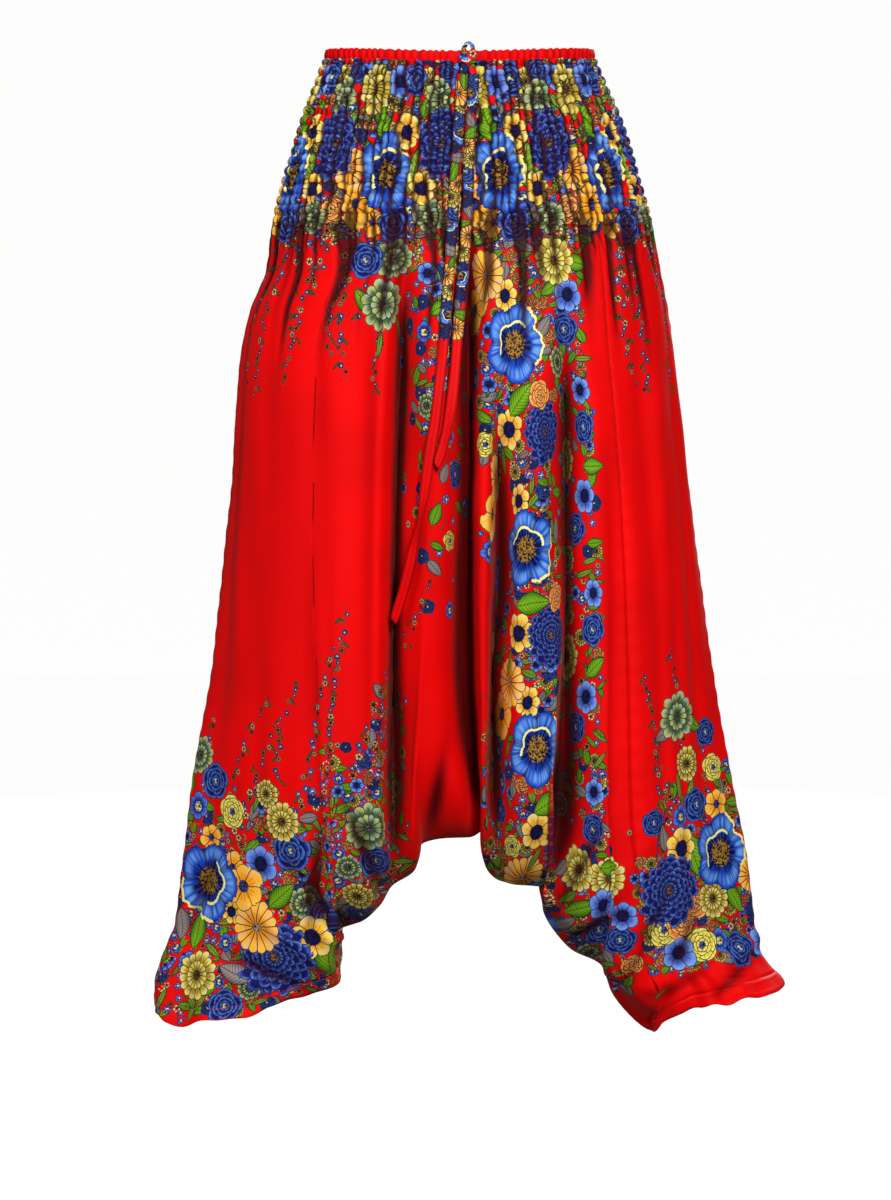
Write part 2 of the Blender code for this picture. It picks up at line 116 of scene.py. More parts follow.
floor_points, floor_faces = [(0, 0, FLOOR_LEVEL)], []
for ring in range(SWEEP_RINGS + 2):
    bend = min(ring / SWEEP_RINGS, 1) * pi / 2
    reach, rise = FLOOR_FLAT + SWEEP_RADIUS * sin(bend), FLOOR_LEVEL + SWEEP_RADIUS * (1 - cos(bend))
    if ring > SWEEP_RINGS:
        rise = WALL_TOP
    for step in range(SWEEP_TURNS):
        turn = step / SWEEP_TURNS * tau
        here, on = len(floor_points), (1 if step < SWEEP_TURNS - 1 else 1 - SWEEP_TURNS)
        floor_points.append((reach * cos(turn), reach * sin(turn), rise))
        if ring:
            floor_faces.append((here, here - SWEEP_TURNS, here - SWEEP_TURNS + on, here + on))
        else:
            floor_faces.append((0, here, here + on))
floor_mesh = bpy.data.meshes.new("floor")
floor_mesh.from_pydata(floor_points, [], floor_faces)
floor_mesh.shade_smooth()
floor = put_in_scene("floor", floor_mesh)
floor_paint, floor_sockets = plain_finish("pale floor", FLOOR_GREY, FLOOR_ROUGHNESS)
floor_sockets["Emission Color"].default_value = FLOOR_WHITE
floor_sockets["Emission Strength"].default_value = FLOOR_GLOW
floor.data.materials.append(floor_paint)
floor.visible_diffuse = False  # its glow hides the horizon, and must not fill the folds with light
floor.visible_glossy = False
floor.visible_shadow = False


# THE WAIST TIE, AND THE PRINTED CLOTH
# Two free ends of one flat strap, turned from the garment's own thin printed rayon and pressed.
# They leave the knot at the centre front, hang down the yoke and lie over the bag of the
# crotch. The cloth's print is here too, because the tie is the first piece that is cut from it.


class Dye:
    """One socket of the material that is being mixed, so that sums on it are written as sums."""

    tree = None

    def __init__(self, socket):
        self.socket = socket

    @classmethod
    def node(cls, kind, settings, sockets, output=0):
        """Any node: its settings first, then its sockets' values or links."""
        made = cls.tree.nodes.new("ShaderNode" + kind)
        for name, value in settings.items():
            if name == "stops":
                made.color_ramp.interpolation = "CONSTANT"
                made.color_ramp.elements.remove(made.color_ramp.elements[1])
                for place, colour in value[1:]:
                    made.color_ramp.elements.new(place)
                for stop, (place, colour) in zip(made.color_ramp.elements, value, strict=True):
                    stop.position, stop.color = place, colour
            else:
                setattr(made, name, value)
        for name, value in sockets.items():
            if isinstance(value, Dye):
                cls.tree.links.new(value.socket, made.inputs[name])
            else:
                made.inputs[name].default_value = value
        return cls(made.outputs[output])

    @classmethod
    def sum(cls, operation, *values):
        return cls.node("Math", {"operation": operation}, dict(enumerate(values)))

    def out(self, name):
        return Dye(self.socket.node.outputs[name])

    def __add__(self, other):
        return Dye.sum("ADD", self, other)

    def __sub__(self, other):
        return Dye.sum("SUBTRACT", self, other)

    def __rsub__(self, other):
        return Dye.sum("SUBTRACT", other, self)

    def __mul__(self, other):
        return Dye.sum("MULTIPLY", self, other)

    def __truediv__(self, other):
        return Dye.sum("DIVIDE", self, other)

    def __rtruediv__(self, other):
        return Dye.sum("DIVIDE", other, self)

    def __lt__(self, other):
        return Dye.sum("LESS_THAN", self, other)

    def __gt__(self, other):
        return Dye.sum("GREATER_THAN", self, other)

    __radd__, __rmul__ = __add__, __mul__


def mix(one, other, share):
    """One colour turning to another as the share goes from 0 to 1."""
    return Dye.node("Mix", {"data_type": "RGBA"}, {0: share, 6: one, 7: other}, output=2)


def between(one, other, share):
    """The same for numbers."""
    return one + (other - one) * share


def smooth(value, low, high):
    """A smooth step from 0 at low to 1 at high."""
    settings = {"interpolation_type": "SMOOTHSTEP"}
    return Dye.node("MapRange", settings, {"Value": value, "From Min": low, "From Max": high})


def speckle(*values):
    """An even spread of random numbers, one for each whole value, or for each pair of them."""
    whole = [Dye.sum("FLOOR", value) for value in values]
    if len(whole) == 1:
        return Dye.node("TexWhiteNoise", {"noise_dimensions": "1D"}, {"W": whole[0]})
    place = Dye.node("CombineXYZ", {}, {"X": whole[0], "Y": whole[1]})
    return Dye.node("TexWhiteNoise", {"noise_dimensions": "2D"}, {"Vector": place})


def dyed(red, green, blue):
    """A colour as the screen shows it, from 0 to 255, as the light it reflects."""
    parts = [v / 255 for v in (red, green, blue)]
    return (*[p / 12.92 if p < 0.04045 else ((p + 0.055) / 1.055) ** 2.4 for p in parts], 1.0)


RED = dyed(220, 0, 1)
RED_SHADE = dyed(208, 0, 2)
INK = dyed(12, 9, 20)
LIP = dyed(232, 224, 128)
GLINT = dyed(116, 172, 238)
WRONG_SIDE = dyed(150, 8, 12)
PAINTED_SHADE_COLOUR = dyed(34, 0, 3)  # painted shade: the colour the cloth is painted deep in its folds and gathers
SHEEN_TINT = dyed(255, 150, 130)
SHEEN, SHEEN_ROUGHNESS, GLOSS = 0.05, 0.4, 0.08

# What is printed on the cloth: flowers, leaves and stems. Petals and rings of petals, how far
# the petals' tips are scalloped, the heart's radius as a share of the flower's, how far the
# petals turn round it, how streaky they are, how much of a pale lip they have, and a leaf's
# half width as a share of its length. Then the colours of the petals' tips and feet and of the heart.
KINDS = (
    # name        petals rings scallop heart turn streak lip leaf  tip, foot and heart colours
    ("plain",          5, 1, 0.10, 0.10, 0.0, 0.0, 0, 0.0,  (226, 4, 6),     (226, 4, 6),    (226, 4, 6)),
    ("blue poppy",     5, 1, 0.24, 0.32, 0.1, 1.0, 1, 0.0,  (18, 66, 178),   (5, 10, 60),    (150, 112, 44)),
    ("navy dahlia",   15, 6, 0.16, 0.10, 0.3, 0.9, 0, 0.0,  (66, 84, 170),   (14, 18, 88),   (132, 84, 40)),
    ("yellow mum",    15, 2, 0.14, 0.20, 0.0, 0.5, 0, 0.0,  (224, 206, 92),  (164, 136, 38), (84, 60, 32)),
    ("green mum",     12, 2, 0.20, 0.17, 0.0, 0.6, 0, 0.0,  (176, 180, 100), (60, 88, 52),   (80, 76, 70)),
    ("amber fan",     15, 1, 0.12, 0.16, 0.0, 0.5, 0, 0.0,  (248, 182, 52),  (226, 138, 30), (150, 138, 128)),
    ("amber poppy",    6, 1, 0.20, 0.26, 0.2, 0.4, 0, 0.0,  (250, 184, 42),  (238, 150, 22), (52, 62, 124)),
    ("anemone",        7, 1, 0.24, 0.42, 0.0, 0.5, 0, 0.0,  (242, 206, 80),  (226, 160, 36), (18, 22, 84)),
    ("periwinkle",     6, 1, 0.22, 0.40, 0.0, 0.4, 0, 0.0,  (112, 142, 212), (54, 84, 176),  (18, 22, 76)),
    ("blue rose",      5, 4, 0.16, 0.12, 0.8, 0.8, 0, 0.0,  (70, 108, 200),  (12, 18, 88),   (204, 206, 150)),
    ("yellow rose",    5, 4, 0.16, 0.20, 0.8, 0.4, 0, 0.0,  (244, 232, 112), (216, 196, 66), (58, 78, 150)),
    ("orange rose",    5, 4, 0.16, 0.14, 0.8, 0.4, 0, 0.0,  (246, 186, 84),  (226, 120, 56), (190, 184, 110)),
    ("green leaf",     1, 1, 0.10, 0.10, 0.0, 0.4, 0, 0.46, (112, 164, 22),  (44, 92, 14),   (44, 92, 14)),
    ("grey leaf",      1, 1, 0.10, 0.10, 0.0, 0.4, 0, 0.46, (142, 130, 124), (92, 84, 92),   (92, 84, 92)),
    ("slim leaf",      1, 1, 0.10, 0.10, 0.0, 0.4, 0, 0.22, (128, 160, 44),  (64, 98, 22),   (64, 98, 22)),
    ("stem",           1, 1, 0.10, 0.10, 0.0, 0.0, 0, 0.035, (150, 124, 84),  (110, 70, 50),  (110, 70, 50)),
    ("lilac blossom",  5, 1, 0.14, 0.34, 0.0, 0.0, 0, 0.0,  (140, 122, 200), (80, 74, 160),  (238, 222, 150)),
    ("cream blossom",  5, 1, 0.14, 0.34, 0.0, 0.0, 0, 0.0,  (240, 222, 160), (206, 150, 96), (140, 30, 30)),
    ("blue blossom",   6, 1, 0.26, 0.34, 0.0, 0.4, 0, 0.0,  (66, 104, 204),  (28, 38, 124),  (212, 208, 150)),
    ("rust blossom",   5, 1, 0.14, 0.34, 0.0, 0.0, 0, 0.0,  (206, 132, 60),  (130, 66, 30),  (60, 24, 20)),
    ("lilac stalk",    1, 1, 0.10, 0.10, 0.0, 0.0, 0, 0.04, (214, 130, 160), (190, 90, 130), (190, 90, 130)),
)
KIND = {row[0]: number for number, row in enumerate(KINDS)}
MOST_PETALS, MOST_RINGS = 20, 8  # what those two columns are divided by in a ramp
LARGEST_MOTIF = 64 * MM
INK_LINE = 0.95 * MM
STREAKS = 120  # streaks round a flower
DOT = 1.3 * MM  # a dot of the stippled hearts
LIP_WIDTH = 0.085
RAGGED_TIPS = 0.07  # how uneven the petals' edges are, as a share of the radius
PETALS_UNLIKE = 0.15  # how much one petal is longer than another
VEIN_WIDTH = 0.11
VEIN_DARKNESS = 0.42
INK_DARKNESS = 0.92
LEAF_VEINS = 5.5  # side veins for each half length of a leaf
SMALLEST_INKED_LEAF = 5 * MM


def picked(kind, column):
    """A colour of KINDS, or three of its numbers as one, for each motif, from a stepped ramp."""
    stops = [(number / len(KINDS), column(row)) for number, row in enumerate(KINDS)]
    return Dye.node("ValToRGB", {"stops": stops}, {"Fac": (kind + 0.5) / len(KINDS)})


def picked_numbers(kind, column):
    """Three numbers of KINDS, each as an output of its own."""
    return Dye.node("SeparateColor", {}, {"Color": picked(kind, column)})


def printed(layer):
    """The colour of one layer of the print, and 1 where it covers what is under it.

    The layer's attribute holds the place in the motif, in radii from its middle, and a number
    whose whole part is the kind and whose rest is the radius as a share of the largest one.
    """
    place = Dye.node("Attribute", {"attribute_name": layer}, {}, output="Vector")
    place = Dye.node("SeparateXYZ", {}, {"Vector": place})
    x, y, code = (place.out(name) for name in "XYZ")
    kind = Dye.sum("FLOOR", code)
    radius = Dye.sum("FRACT", code) * LARGEST_MOTIF
    line = INK_LINE / radius
    cut = picked_numbers(kind, lambda row: (row[1] / MOST_PETALS, row[2] / MOST_RINGS, row[3], 1))
    turned = picked_numbers(kind, lambda row: (row[4], row[5], row[6], 1))
    edged = picked_numbers(kind, lambda row: (row[7], row[8], 0, 1))
    petals, rings, scallop = cut.out("Red") * MOST_PETALS, cut.out("Green") * MOST_RINGS, cut.out("Blue")
    heart, twist, streaky = (turned.out(name) for name in ("Red", "Green", "Blue"))
    tip = picked(kind, lambda row: dyed(*row[9]))
    foot = picked(kind, lambda row: dyed(*row[10]))
    middle = picked(kind, lambda row: dyed(*row[11]))

    # A flower: rings of petals, each ring half a petal on from the one outside it.
    out = Dye.sum("SQRT", x * x + y * y)
    turn = Dye.sum("ARCTAN2", y, x) / tau + 0.5
    beside = Dye.sum("ABSOLUTE", Dye.sum("FRACT", turn * petals + twist * out) - 0.5) * 2
    wobble = speckle(turn * STREAKS + kind * STREAKS)
    pitch = (1 - heart) * 2 / rings
    unlike = speckle(turn * petals + kind * 31)
    ragged = out * (1 + (wobble - 0.5) * RAGGED_TIPS * streaky + (unlike - 0.5) * PETALS_UNLIKE)
    even = (1 - ragged * (1 + scallop * beside * beside)) / pitch
    other_side = 1 - beside
    odd = (1 - out * (1 + scallop * other_side * other_side)) / pitch - 0.5
    on_even = (Dye.sum("FLOOR", even) - Dye.sum("FLOOR", odd)) > 0.5
    inward = between(Dye.sum("FRACT", odd), Dye.sum("FRACT", even), on_even)
    beside = between(other_side, beside, on_even)
    lipped = edged.out("Red")
    tone = smooth(inward * 2 + (wobble - 0.5) * streaky * 0.7, 0.15 + lipped * 0.3, 0.95)
    petal = mix(tip, foot, tone)
    shine = (wobble > 0.66) * streaky * (1 - tone) * (1 - lipped) * 0.6
    bright = smooth(inward * 2, 0.06, 0.26) * (1 - smooth(inward * 2, 0.36, 0.7)) * lipped
    petal = mix(petal, GLINT, shine + bright * (0.1 + wobble * 0.75))
    dark_streaks = (wobble < 0.2) * streaky * (0.5 - lipped * 0.3)
    petal = mix(petal, foot, dark_streaks + smooth(beside, 0.7, 1.0) * lipped * 0.6)
    between_petals = ((1 - beside) * out * pi / petals) < line * 0.5
    between_petals = between_petals * (1 - lipped * (out < 0.78))
    vein = Dye.sum("ABSOLUTE", Dye.sum("FRACT", turn * petals * 3 + twist * out) - 0.5) < VEIN_WIDTH
    petal = mix(petal, INK, vein * (inward > 0.28) * (1 - lipped * 0.7) * VEIN_DARKNESS)
    petal_ink = Dye.sum("MAXIMUM", (inward * pitch) < line, between_petals)
    petal = mix(petal, INK, petal_ink * INK_DARKNESS)
    inner_lip = Dye.sum("ABSOLUTE", inward * 2 - 0.66 + (wobble - 0.5) * 0.08) < 0.05
    outer_lip = (even * pitch < LIP_WIDTH) * ((x * 0.5 - y) > 0.62)
    lip = Dye.sum("MAXIMUM", inner_lip * ((x * 0.7 + y) > 0.12), outer_lip) * lipped
    petal = mix(petal, LIP, lip)
    dots = speckle(x * radius / DOT, y * radius / DOT)
    core = mix(middle, INK, smooth(dots, 0.35, 0.7))
    petal = mix(petal, core, (out + (wobble - 0.5) * 0.12 * streaky) < heart)
    flower_cover = even > 0

    # A leaf, or a stem if it is slim: a pointed outline with a middle vein and slanted side veins.
    across = Dye.sum("ABSOLUTE", y)
    half_width = edged.out("Green") * (1 - x * x) * (1.15 - x * 0.3)
    veins = Dye.sum("FRACT", (x - across * 0.9) * LEAF_VEINS) < line * 4
    veins = Dye.sum("MAXIMUM", veins, across < line * 0.5)
    leaf = mix(tip, foot, smooth(across / (half_width + 0.001), 0.2, 1.1))
    leaf_ink = Dye.sum("MAXIMUM", (half_width - across) < line, veins * 0.8)
    leaf = mix(leaf, INK, leaf_ink * (radius > SMALLEST_INKED_LEAF) * 0.9)
    leafy = edged.out("Green") > 0.01
    colour = mix(petal, leaf, leafy)
    cover = between(flower_cover, across < half_width, leafy)
    return colour, cover


LAYERS = ("print_under", "print_over", "print_top")
NO_MOTIF = (9.0, 9.0, 0.5)  # a place far outside the first kind of motif
WARP_PITCH = 0.7 * MM
WEFT_PITCH = 0.9 * MM
WRONG_SIDE_SHOWS = 0.72


def printed_cloth(name, roughness=0.7, plain=False):
    """The material of one piece: red rayon with the layers of its print."""
    material = bpy.data.materials.new(name)
    material.use_nodes = True
    Dye.tree = material.node_tree
    shader = material.node_tree.nodes["Principled BSDF"]
    spot = Dye.node("TexCoord", {}, {}, output="Object")
    drift = Dye.node("TexNoise", {}, {"Vector": spot, "Scale": 9.0, "Detail": 2.0})
    colour = mix(RED, RED_SHADE, smooth(drift, 0.35, 0.65))
    if not plain:
        for layer in LAYERS:
            dye, cover = printed(layer)
            colour = mix(colour, dye, cover)
    inside = Dye.node("Attribute", {"attribute_name": "wrong_side"}, {}, output="Fac")
    colour = mix(colour, WRONG_SIDE, inside * WRONG_SIDE_SHOWS)
    # painted shade: the attribute read here says how far each point is painted toward the dark shade colour,
    # where the cloth lies deep in a fold or gather
    hollow = Dye.node("Attribute", {"attribute_name": "hollow"}, {}, output="Fac")
    colour = mix(colour, PAINTED_SHADE_COLOUR, hollow)
    threads = Dye.node("Attribute", {"attribute_name": "threads"}, {}, output="Vector")
    threads = Dye.node("SeparateXYZ", {}, {"Vector": threads})
    warp, weft = threads.out("X"), threads.out("Y")
    weave = Dye.sum("SINE", warp * tau / WARP_PITCH) * Dye.sum("SINE", weft * tau / WEFT_PITCH)
    slub = Dye.node("TexNoise", {}, {"Vector": spot, "Scale": 260.0, "Detail": 1.0})
    height = weave * 0.5 + slub
    bump = Dye.node("Bump", {}, {"Strength": 0.35, "Distance": 0.12 * MM, "Height": height})
    Dye.tree.links.new(colour.socket, shader.inputs["Base Color"])
    Dye.tree.links.new(bump.socket, shader.inputs["Normal"])
    shader.inputs["Roughness"].default_value = roughness
    shader.inputs["Sheen Weight"].default_value = SHEEN
    shader.inputs["Sheen Roughness"].default_value = SHEEN_ROUGHNESS
    shader.inputs["Sheen Tint"].default_value = SHEEN_TINT
    shader.inputs["Specular IOR Level"].default_value = GLOSS
    return material


def grid_faces(rows, columns, loop=False):
    """The corners of a patch's faces, as its rows and columns, seen from outside."""
    r, c = np.meshgrid(np.arange(rows - 1), np.arange(columns if loop else columns - 1), indexing="ij")
    r, c = r.ravel(), c.ravel()
    on = (c + 1) % columns
    return np.stack([r, r + 1, r + 1, r], 1), np.stack([c, c, on, on], 1)


def shell(name, middle, normal, thickness, flat, hollow, motifs=(), loop=False):
    """A closed thin wall round a patch of points, with the print's layers as attributes.

    middle and normal are (rows, columns, 3). motifs is a list of layers, each with the three
    numbers for every corner of every face. flat is the places of the points on the flat cloth,
    and the argument after it the painted shade of each of them, from 0 to 1: how far its colour is
    painted darker because it lies deep in a fold or a gather.
    """
    rows, columns = middle.shape[:2]
    face_rows, face_columns = grid_faces(rows, columns, loop)
    outer = face_rows * columns + face_columns
    inner = outer[:, ::-1] + rows * columns
    rims = []

    def rim(ring):
        ring = np.asarray(ring)
        one, two = ring[:-1], ring[1:]
        rims.append(np.stack([one, two, two + rows * columns, one + rows * columns], 1))

    across = list(range(columns)) + ([0] if loop else [])
    rim(across)
    rim([(rows - 1) * columns + c for c in across[::-1]])
    if not loop:
        rim([r * columns for r in range(rows - 1, -1, -1)])
        rim([r * columns + columns - 1 for r in range(rows)])
    faces = np.concatenate([outer, inner, *rims])
    half = normal * thickness / 2
    points = np.concatenate([(middle + half).reshape(-1, 3), (middle - half).reshape(-1, 3)])
    mesh = bpy.data.meshes.new(name)
    mesh.from_pydata(points.tolist(), [], faces.tolist())
    mesh.shade_smooth()
    rest = len(faces) - 2 * len(outer)
    wrong = np.concatenate([np.zeros(len(outer)), np.ones(len(inner)), np.zeros(rest)])
    mesh.attributes.new("wrong_side", "FLOAT", "FACE").data.foreach_set("value", wrong)
    nothing = np.tile(NO_MOTIF, (rest * 4, 1))
    for layer, corners in zip(LAYERS, motifs):
        # corners: (faces, 4, 3), in the order of grid_faces
        both = [corners.reshape(-1, 3), corners[:, ::-1].reshape(-1, 3), nothing]
        held = mesh.attributes.new(layer, "FLOAT_VECTOR", "CORNER")
        held.data.foreach_set("vector", np.concatenate(both).ravel())
    both = np.concatenate([flat.reshape(-1, 2), flat.reshape(-1, 2)])
    both = np.concatenate([both, np.zeros((len(both), 1))], axis=1)
    mesh.attributes.new("threads", "FLOAT_VECTOR", "POINT").data.foreach_set("vector", both.ravel())
    # painted shade for each point, kept on the mesh for the material
    both = np.concatenate([hollow.ravel(), hollow.ravel()])
    mesh.attributes.new("hollow", "FLOAT", "POINT").data.foreach_set("value", both)
    return put_in_scene(name, mesh)


def edge_normals(points):
    """Outward normals of a patch of points."""
    down, along = np.gradient(points, axis=0), np.gradient(points, axis=1)
    normal = np.cross(down, along)
    return normal / (np.linalg.norm(normal, axis=2, keepdims=True) + 1e-12)


def lay_motifs(centres, corner_places, motifs):
    """For each face, the three motifs on top there, and its corners' places in them.

    centres is (faces, 3), corner_places a function that gives the (faces, 4, 2) places of the
    chosen faces' corners in a motif, and motifs the list of them, the top one first.
    """
    layers = [np.tile(NO_MOTIF, (len(centres), 4, 1)) for _ in LAYERS]
    used = np.zeros(len(centres), int)
    by_height = np.argsort(centres[:, 2], kind="stable")
    heights = centres[by_height, 2]
    for motif in motifs:
        reach = motif["radius"] + 3 * MM
        low, high = np.searchsorted(heights, (motif["middle"][2] - reach, motif["middle"][2] + reach))
        near = by_height[low:high]
        near = near[(np.abs(centres[near] - motif["middle"]).max(1) < reach) & (used[near] < len(LAYERS))]
        if not len(near):
            continue
        places = corner_places(near, motif)
        inside = places.min(1), places.max(1)
        slim = KINDS[motif["kind"]][8] or 1
        wide = np.maximum(np.abs(inside[0]), np.abs(inside[1]))
        spread = inside[1] - inside[0]
        touched = (wide[:, 0] - spread[:, 0] < 1) & (wide[:, 1] - spread[:, 1] < slim * 1.2)
        if slim == 1:
            touched &= np.hypot(*(np.abs(places.mean(1)).T)) < 1 + spread.max(1) / 2
        code = motif["kind"] + motif["radius"] / LARGEST_MOTIF
        chosen = near[touched]
        coded = np.full((len(chosen), 4, 1), code)
        found = np.concatenate([places[touched], coded], axis=2)
        for level in range(len(LAYERS)):
            here = used[chosen] == level
            layers[len(LAYERS) - 1 - level][chosen[here]] = found[here]
        used[chosen] += 1
    return layers


TIE_WIDTH = 10 * MM
TIE_CLOTH = 1.5 * MM
TIP_WIDTH = 0.7  # of the width, at a cut tip
STEPS_BETWEEN = 10  # of the strap's mesh from one point of its route to the next
TIE_PRINT_ENDS = 235 * MM  # how far down the printed part of the strap reaches
# Points down the middle of each strap, from the knot. Millimetres.
LONG_END = (
    (1.5, -101, -28.2),
    (0, -106, -52),
    (-2, -111.5, -81),
    (-4, -115.7, -110),
    (-6, -119.5, -139),
    (-8, -123.5, -169),
    (-10, -129.5, -202),
    (-12.5, -137, -234),
    (-15.5, -143, -269),
    (-19, -146, -306),
    (-23, -146.5, -341),
    (-28, -146, -372),
    (-32.5, -143.5, -405),
    (-38, -140, -437),
    (-45, -134.5, -470),
    (-52, -128, -498),
    (-61.5, -120, -528),
)
SHORT_END = (
    (12, -101, -28.2),
    (11, -106, -52),
    (9, -111.5, -81),
    (7.5, -115.7, -110),
    (6.5, -119.5, -139),
    (5, -123, -169),
    (3, -127, -202),
    (0, -132.5, -234),
    (-3, -138.5, -269),
    (-6, -144, -306),
    (-10.5, -148.8, -341),
    (-16, -150.5, -366),
    (-22, -150.5, -384),
)
STRAP_TURN_REACH = 26 * MM  # how far each turn of a strap spreads to both sides
STRAP_CUP = 0.9 * MM
TIP_LENGTH = 9 * MM
TIP_SLANT = 2.2 * MM
STRAP_MOTIF_STEP = 12 * MM
STRAP_PRINT = ("green leaf", "navy dahlia", "blue rose", "amber fan", "grey leaf", "blue poppy", "yellow mum")


def strap_points(route):
    """The route as closely spaced points of a smooth curve, and how far each one is along it."""
    route = np.array(route, float) * MM
    at = np.arange(len(route), dtype=float)
    slope = np.gradient(route, axis=0)
    fine = np.linspace(0, len(route) - 1, (len(route) - 1) * STEPS_BETWEEN + 1)
    k = np.minimum(fine.astype(int), len(route) - 2)
    part = (fine - at[k])[:, None]
    rest = 1 - part
    points = (
        route[k] * rest**2 * (1 + 2 * part)
        + route[k + 1] * part**2 * (1 + 2 * rest)
        + part * rest * (slope[k] * rest - slope[k + 1] * part)
    )
    steps = np.linalg.norm(np.diff(points, axis=0), axis=1)
    return points, np.concatenate([[0], np.cumsum(steps)])


def strap(name, route, twists, phase):
    """A flat turned strap: painted shade along its folded edge and down its middle, a slight cup, and slow
    turns this way and that.
    """
    points, along = strap_points(route)
    forward = np.gradient(points, axis=0)
    forward /= np.linalg.norm(forward, axis=1)[:, None]
    side = np.cross(forward, (0, 1, 0))
    side /= np.linalg.norm(side, axis=1)[:, None]
    out = np.cross(forward, side)
    turn = sum(t * np.exp(-(((along - where * MM) / STRAP_TURN_REACH) ** 2)) for where, t in twists)
    turn = np.asarray(turn)[:, None]
    across = side * np.cos(turn) + out * np.sin(turn)
    facing = out * np.cos(turn) - side * np.sin(turn)
    places = np.linspace(-1, 1, 9)
    width = np.full(len(points), TIE_WIDTH / 2) * (1 + 0.06 * np.sin(along / (17 * MM) + phase))
    near_tip = np.clip((along[-1] - along) / TIP_LENGTH, 0, 1)
    width *= TIP_WIDTH + (1 - TIP_WIDTH) * near_tip
    cup = STRAP_CUP * np.sin(along / (23 * MM) + phase)[:, None] * (1 - places**2)
    slant = np.where(near_tip < 1, 1 - near_tip, 0)[:, None] * places * TIP_SLANT
    middle = (
        points[:, None]
        + across[:, None] * (places * width[:, None])[..., None]
        + facing[:, None] * cup[..., None]
        + forward[:, None] * slant[..., None]
    )
    normal = np.repeat(facing[:, None], len(places), axis=1)
    flat = np.stack(np.meshgrid(along, places * TIE_WIDTH / 2, indexing="ij"), 2)
    face_rows, face_columns = grid_faces(*middle.shape[:2])
    corners = flat[face_rows, face_columns]
    lengths = np.concatenate([corners, np.zeros((*corners.shape[:2], 1))], 2)
    motifs = []
    for number, start in enumerate(np.arange(6 * MM, TIE_PRINT_ENDS, STRAP_MOTIF_STEP)):
        motifs.append({
            "kind": KIND[STRAP_PRINT[(number * 3 + int(phase)) % len(STRAP_PRINT)]],
            "middle": np.array((start, (3 - 6 * (number % 2)) * MM, 0)),
            "radius": (10.5 + 2.5 * sin(number * 2.1)) * MM,
            "angle": number * 1.3,
        })

    def corner_places(faces, motif):
        away = (lengths[faces] - motif["middle"])[..., :2] / motif["radius"]
        c, s = cos(motif["angle"]), sin(motif["angle"])
        return np.stack([away[..., 0] * c + away[..., 1] * s, away[..., 1] * c - away[..., 0] * s], 2)

    layers = lay_motifs(lengths.mean(1), corner_places, motifs)
    # painted shade: darker along both folded edges of the strap and a little down its middle crease
    strap_painted_shade = 0.55 * (np.abs(places) > 0.7) + 0.3 * np.exp(-((places / 0.2) ** 2)) + 0 * along[:, None]
    piece = shell(name, middle, normal, TIE_CLOTH, flat, strap_painted_shade, layers)
    piece.data.materials.append(tie_cloth)
    return piece, points, along[-1]


tie_cloth = printed_cloth("tie cloth", roughness=0.6)
for name, node, route, twists, phase in (
    # twists: how far along each turn is, in millimetres, and its angle
    ("strap_long", "tie_long_end", LONG_END, ((415, 1.2), (250, -0.35), (90, 0.25)), 0.4),
    ("strap_short", "tie_short_end", SHORT_END, ((330, 0.5), (180, 0.3)), 2.3),
):
    end, points, length = strap(name, route, twists, phase)
    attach(end, "root")
    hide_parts(node)

# THE WAIST CASING
# The narrow plain red tunnel at the top edge. It is a strip of the cloth folded over a flat
# elastic, so it is ruffled all the way round. It carries the tie, which comes out at the knot.
CASING_DEPTH = 9.5 * MM
CASING_CLOTH = 2.6 * MM
SEAM_GAP = 0.3 * MM
YOKE_FOOT = 165 * MM
HEM_DEPTH = 12 * MM
ANKLE_FRONT = 62 * MM
ANKLE_BACK = 66 * MM
CLOSING_AT_INSEAM = 105 * MM
CLOSING_AT_ANKLE = 150 * MM
CORNER_WIDTH = 0.04
CORNER_FLAT_FROM = 0.7
CORNER_FLAT_TO = 0.95
FALL_BACK = 0.34
FALL_BACK_FROM = 300 * MM
FALL_BACK_TO = 720 * MM
FALL_BACK_WIDTH = 0.17
DRAWN_FROM = 0.25

# Level sections of the whole garment: how far down they are, where the side seams stand over
# the wearer's right and left leg, and how far the front and back stand out. Millimetres.
SECTIONS = (
    # name            drop  right   left  front  back
    ("waist",            0, -123,   122,    92,   98),
    ("upper yoke",      28, -134,   134,    97,  104),
    ("mid yoke",        62, -147,   149,   104,  116),
    ("hip",            100, -159,   162,   110,  128),
    ("lower yoke",     138, -170,   173,   115,  136),
    ("yoke foot",      165, -177,   182,   118,  139),
    ("seat",           205, -183,   190,   122,  143),
    ("gathers spread", 245, -199,   197,   127,  148),
    ("upper thigh",    300, -209,   204,   132,  152),
    ("thigh",          400, -216,   216,   137,  153),
    ("knee",           480, -225,   227,   138,  150),
    ("under knee",     590, -238,   243,   135,  144),
    ("calf",           680, -255,   259,   129,  136),
    ("low calf",       765, -266,   276,   119,  125),
    ("shin",           830, -275,   285,   107,  111),
    ("low shin",       856, -284,   290,   101,  104),
    ("above ankle",    887, -292,   314,    94,   97),
    ("ankle",          924, -293,   322,    86,   89),
)
RIGHT, LEFT, FRONT, BACK = 2, 3, 4, 5  # the columns of SECTIONS
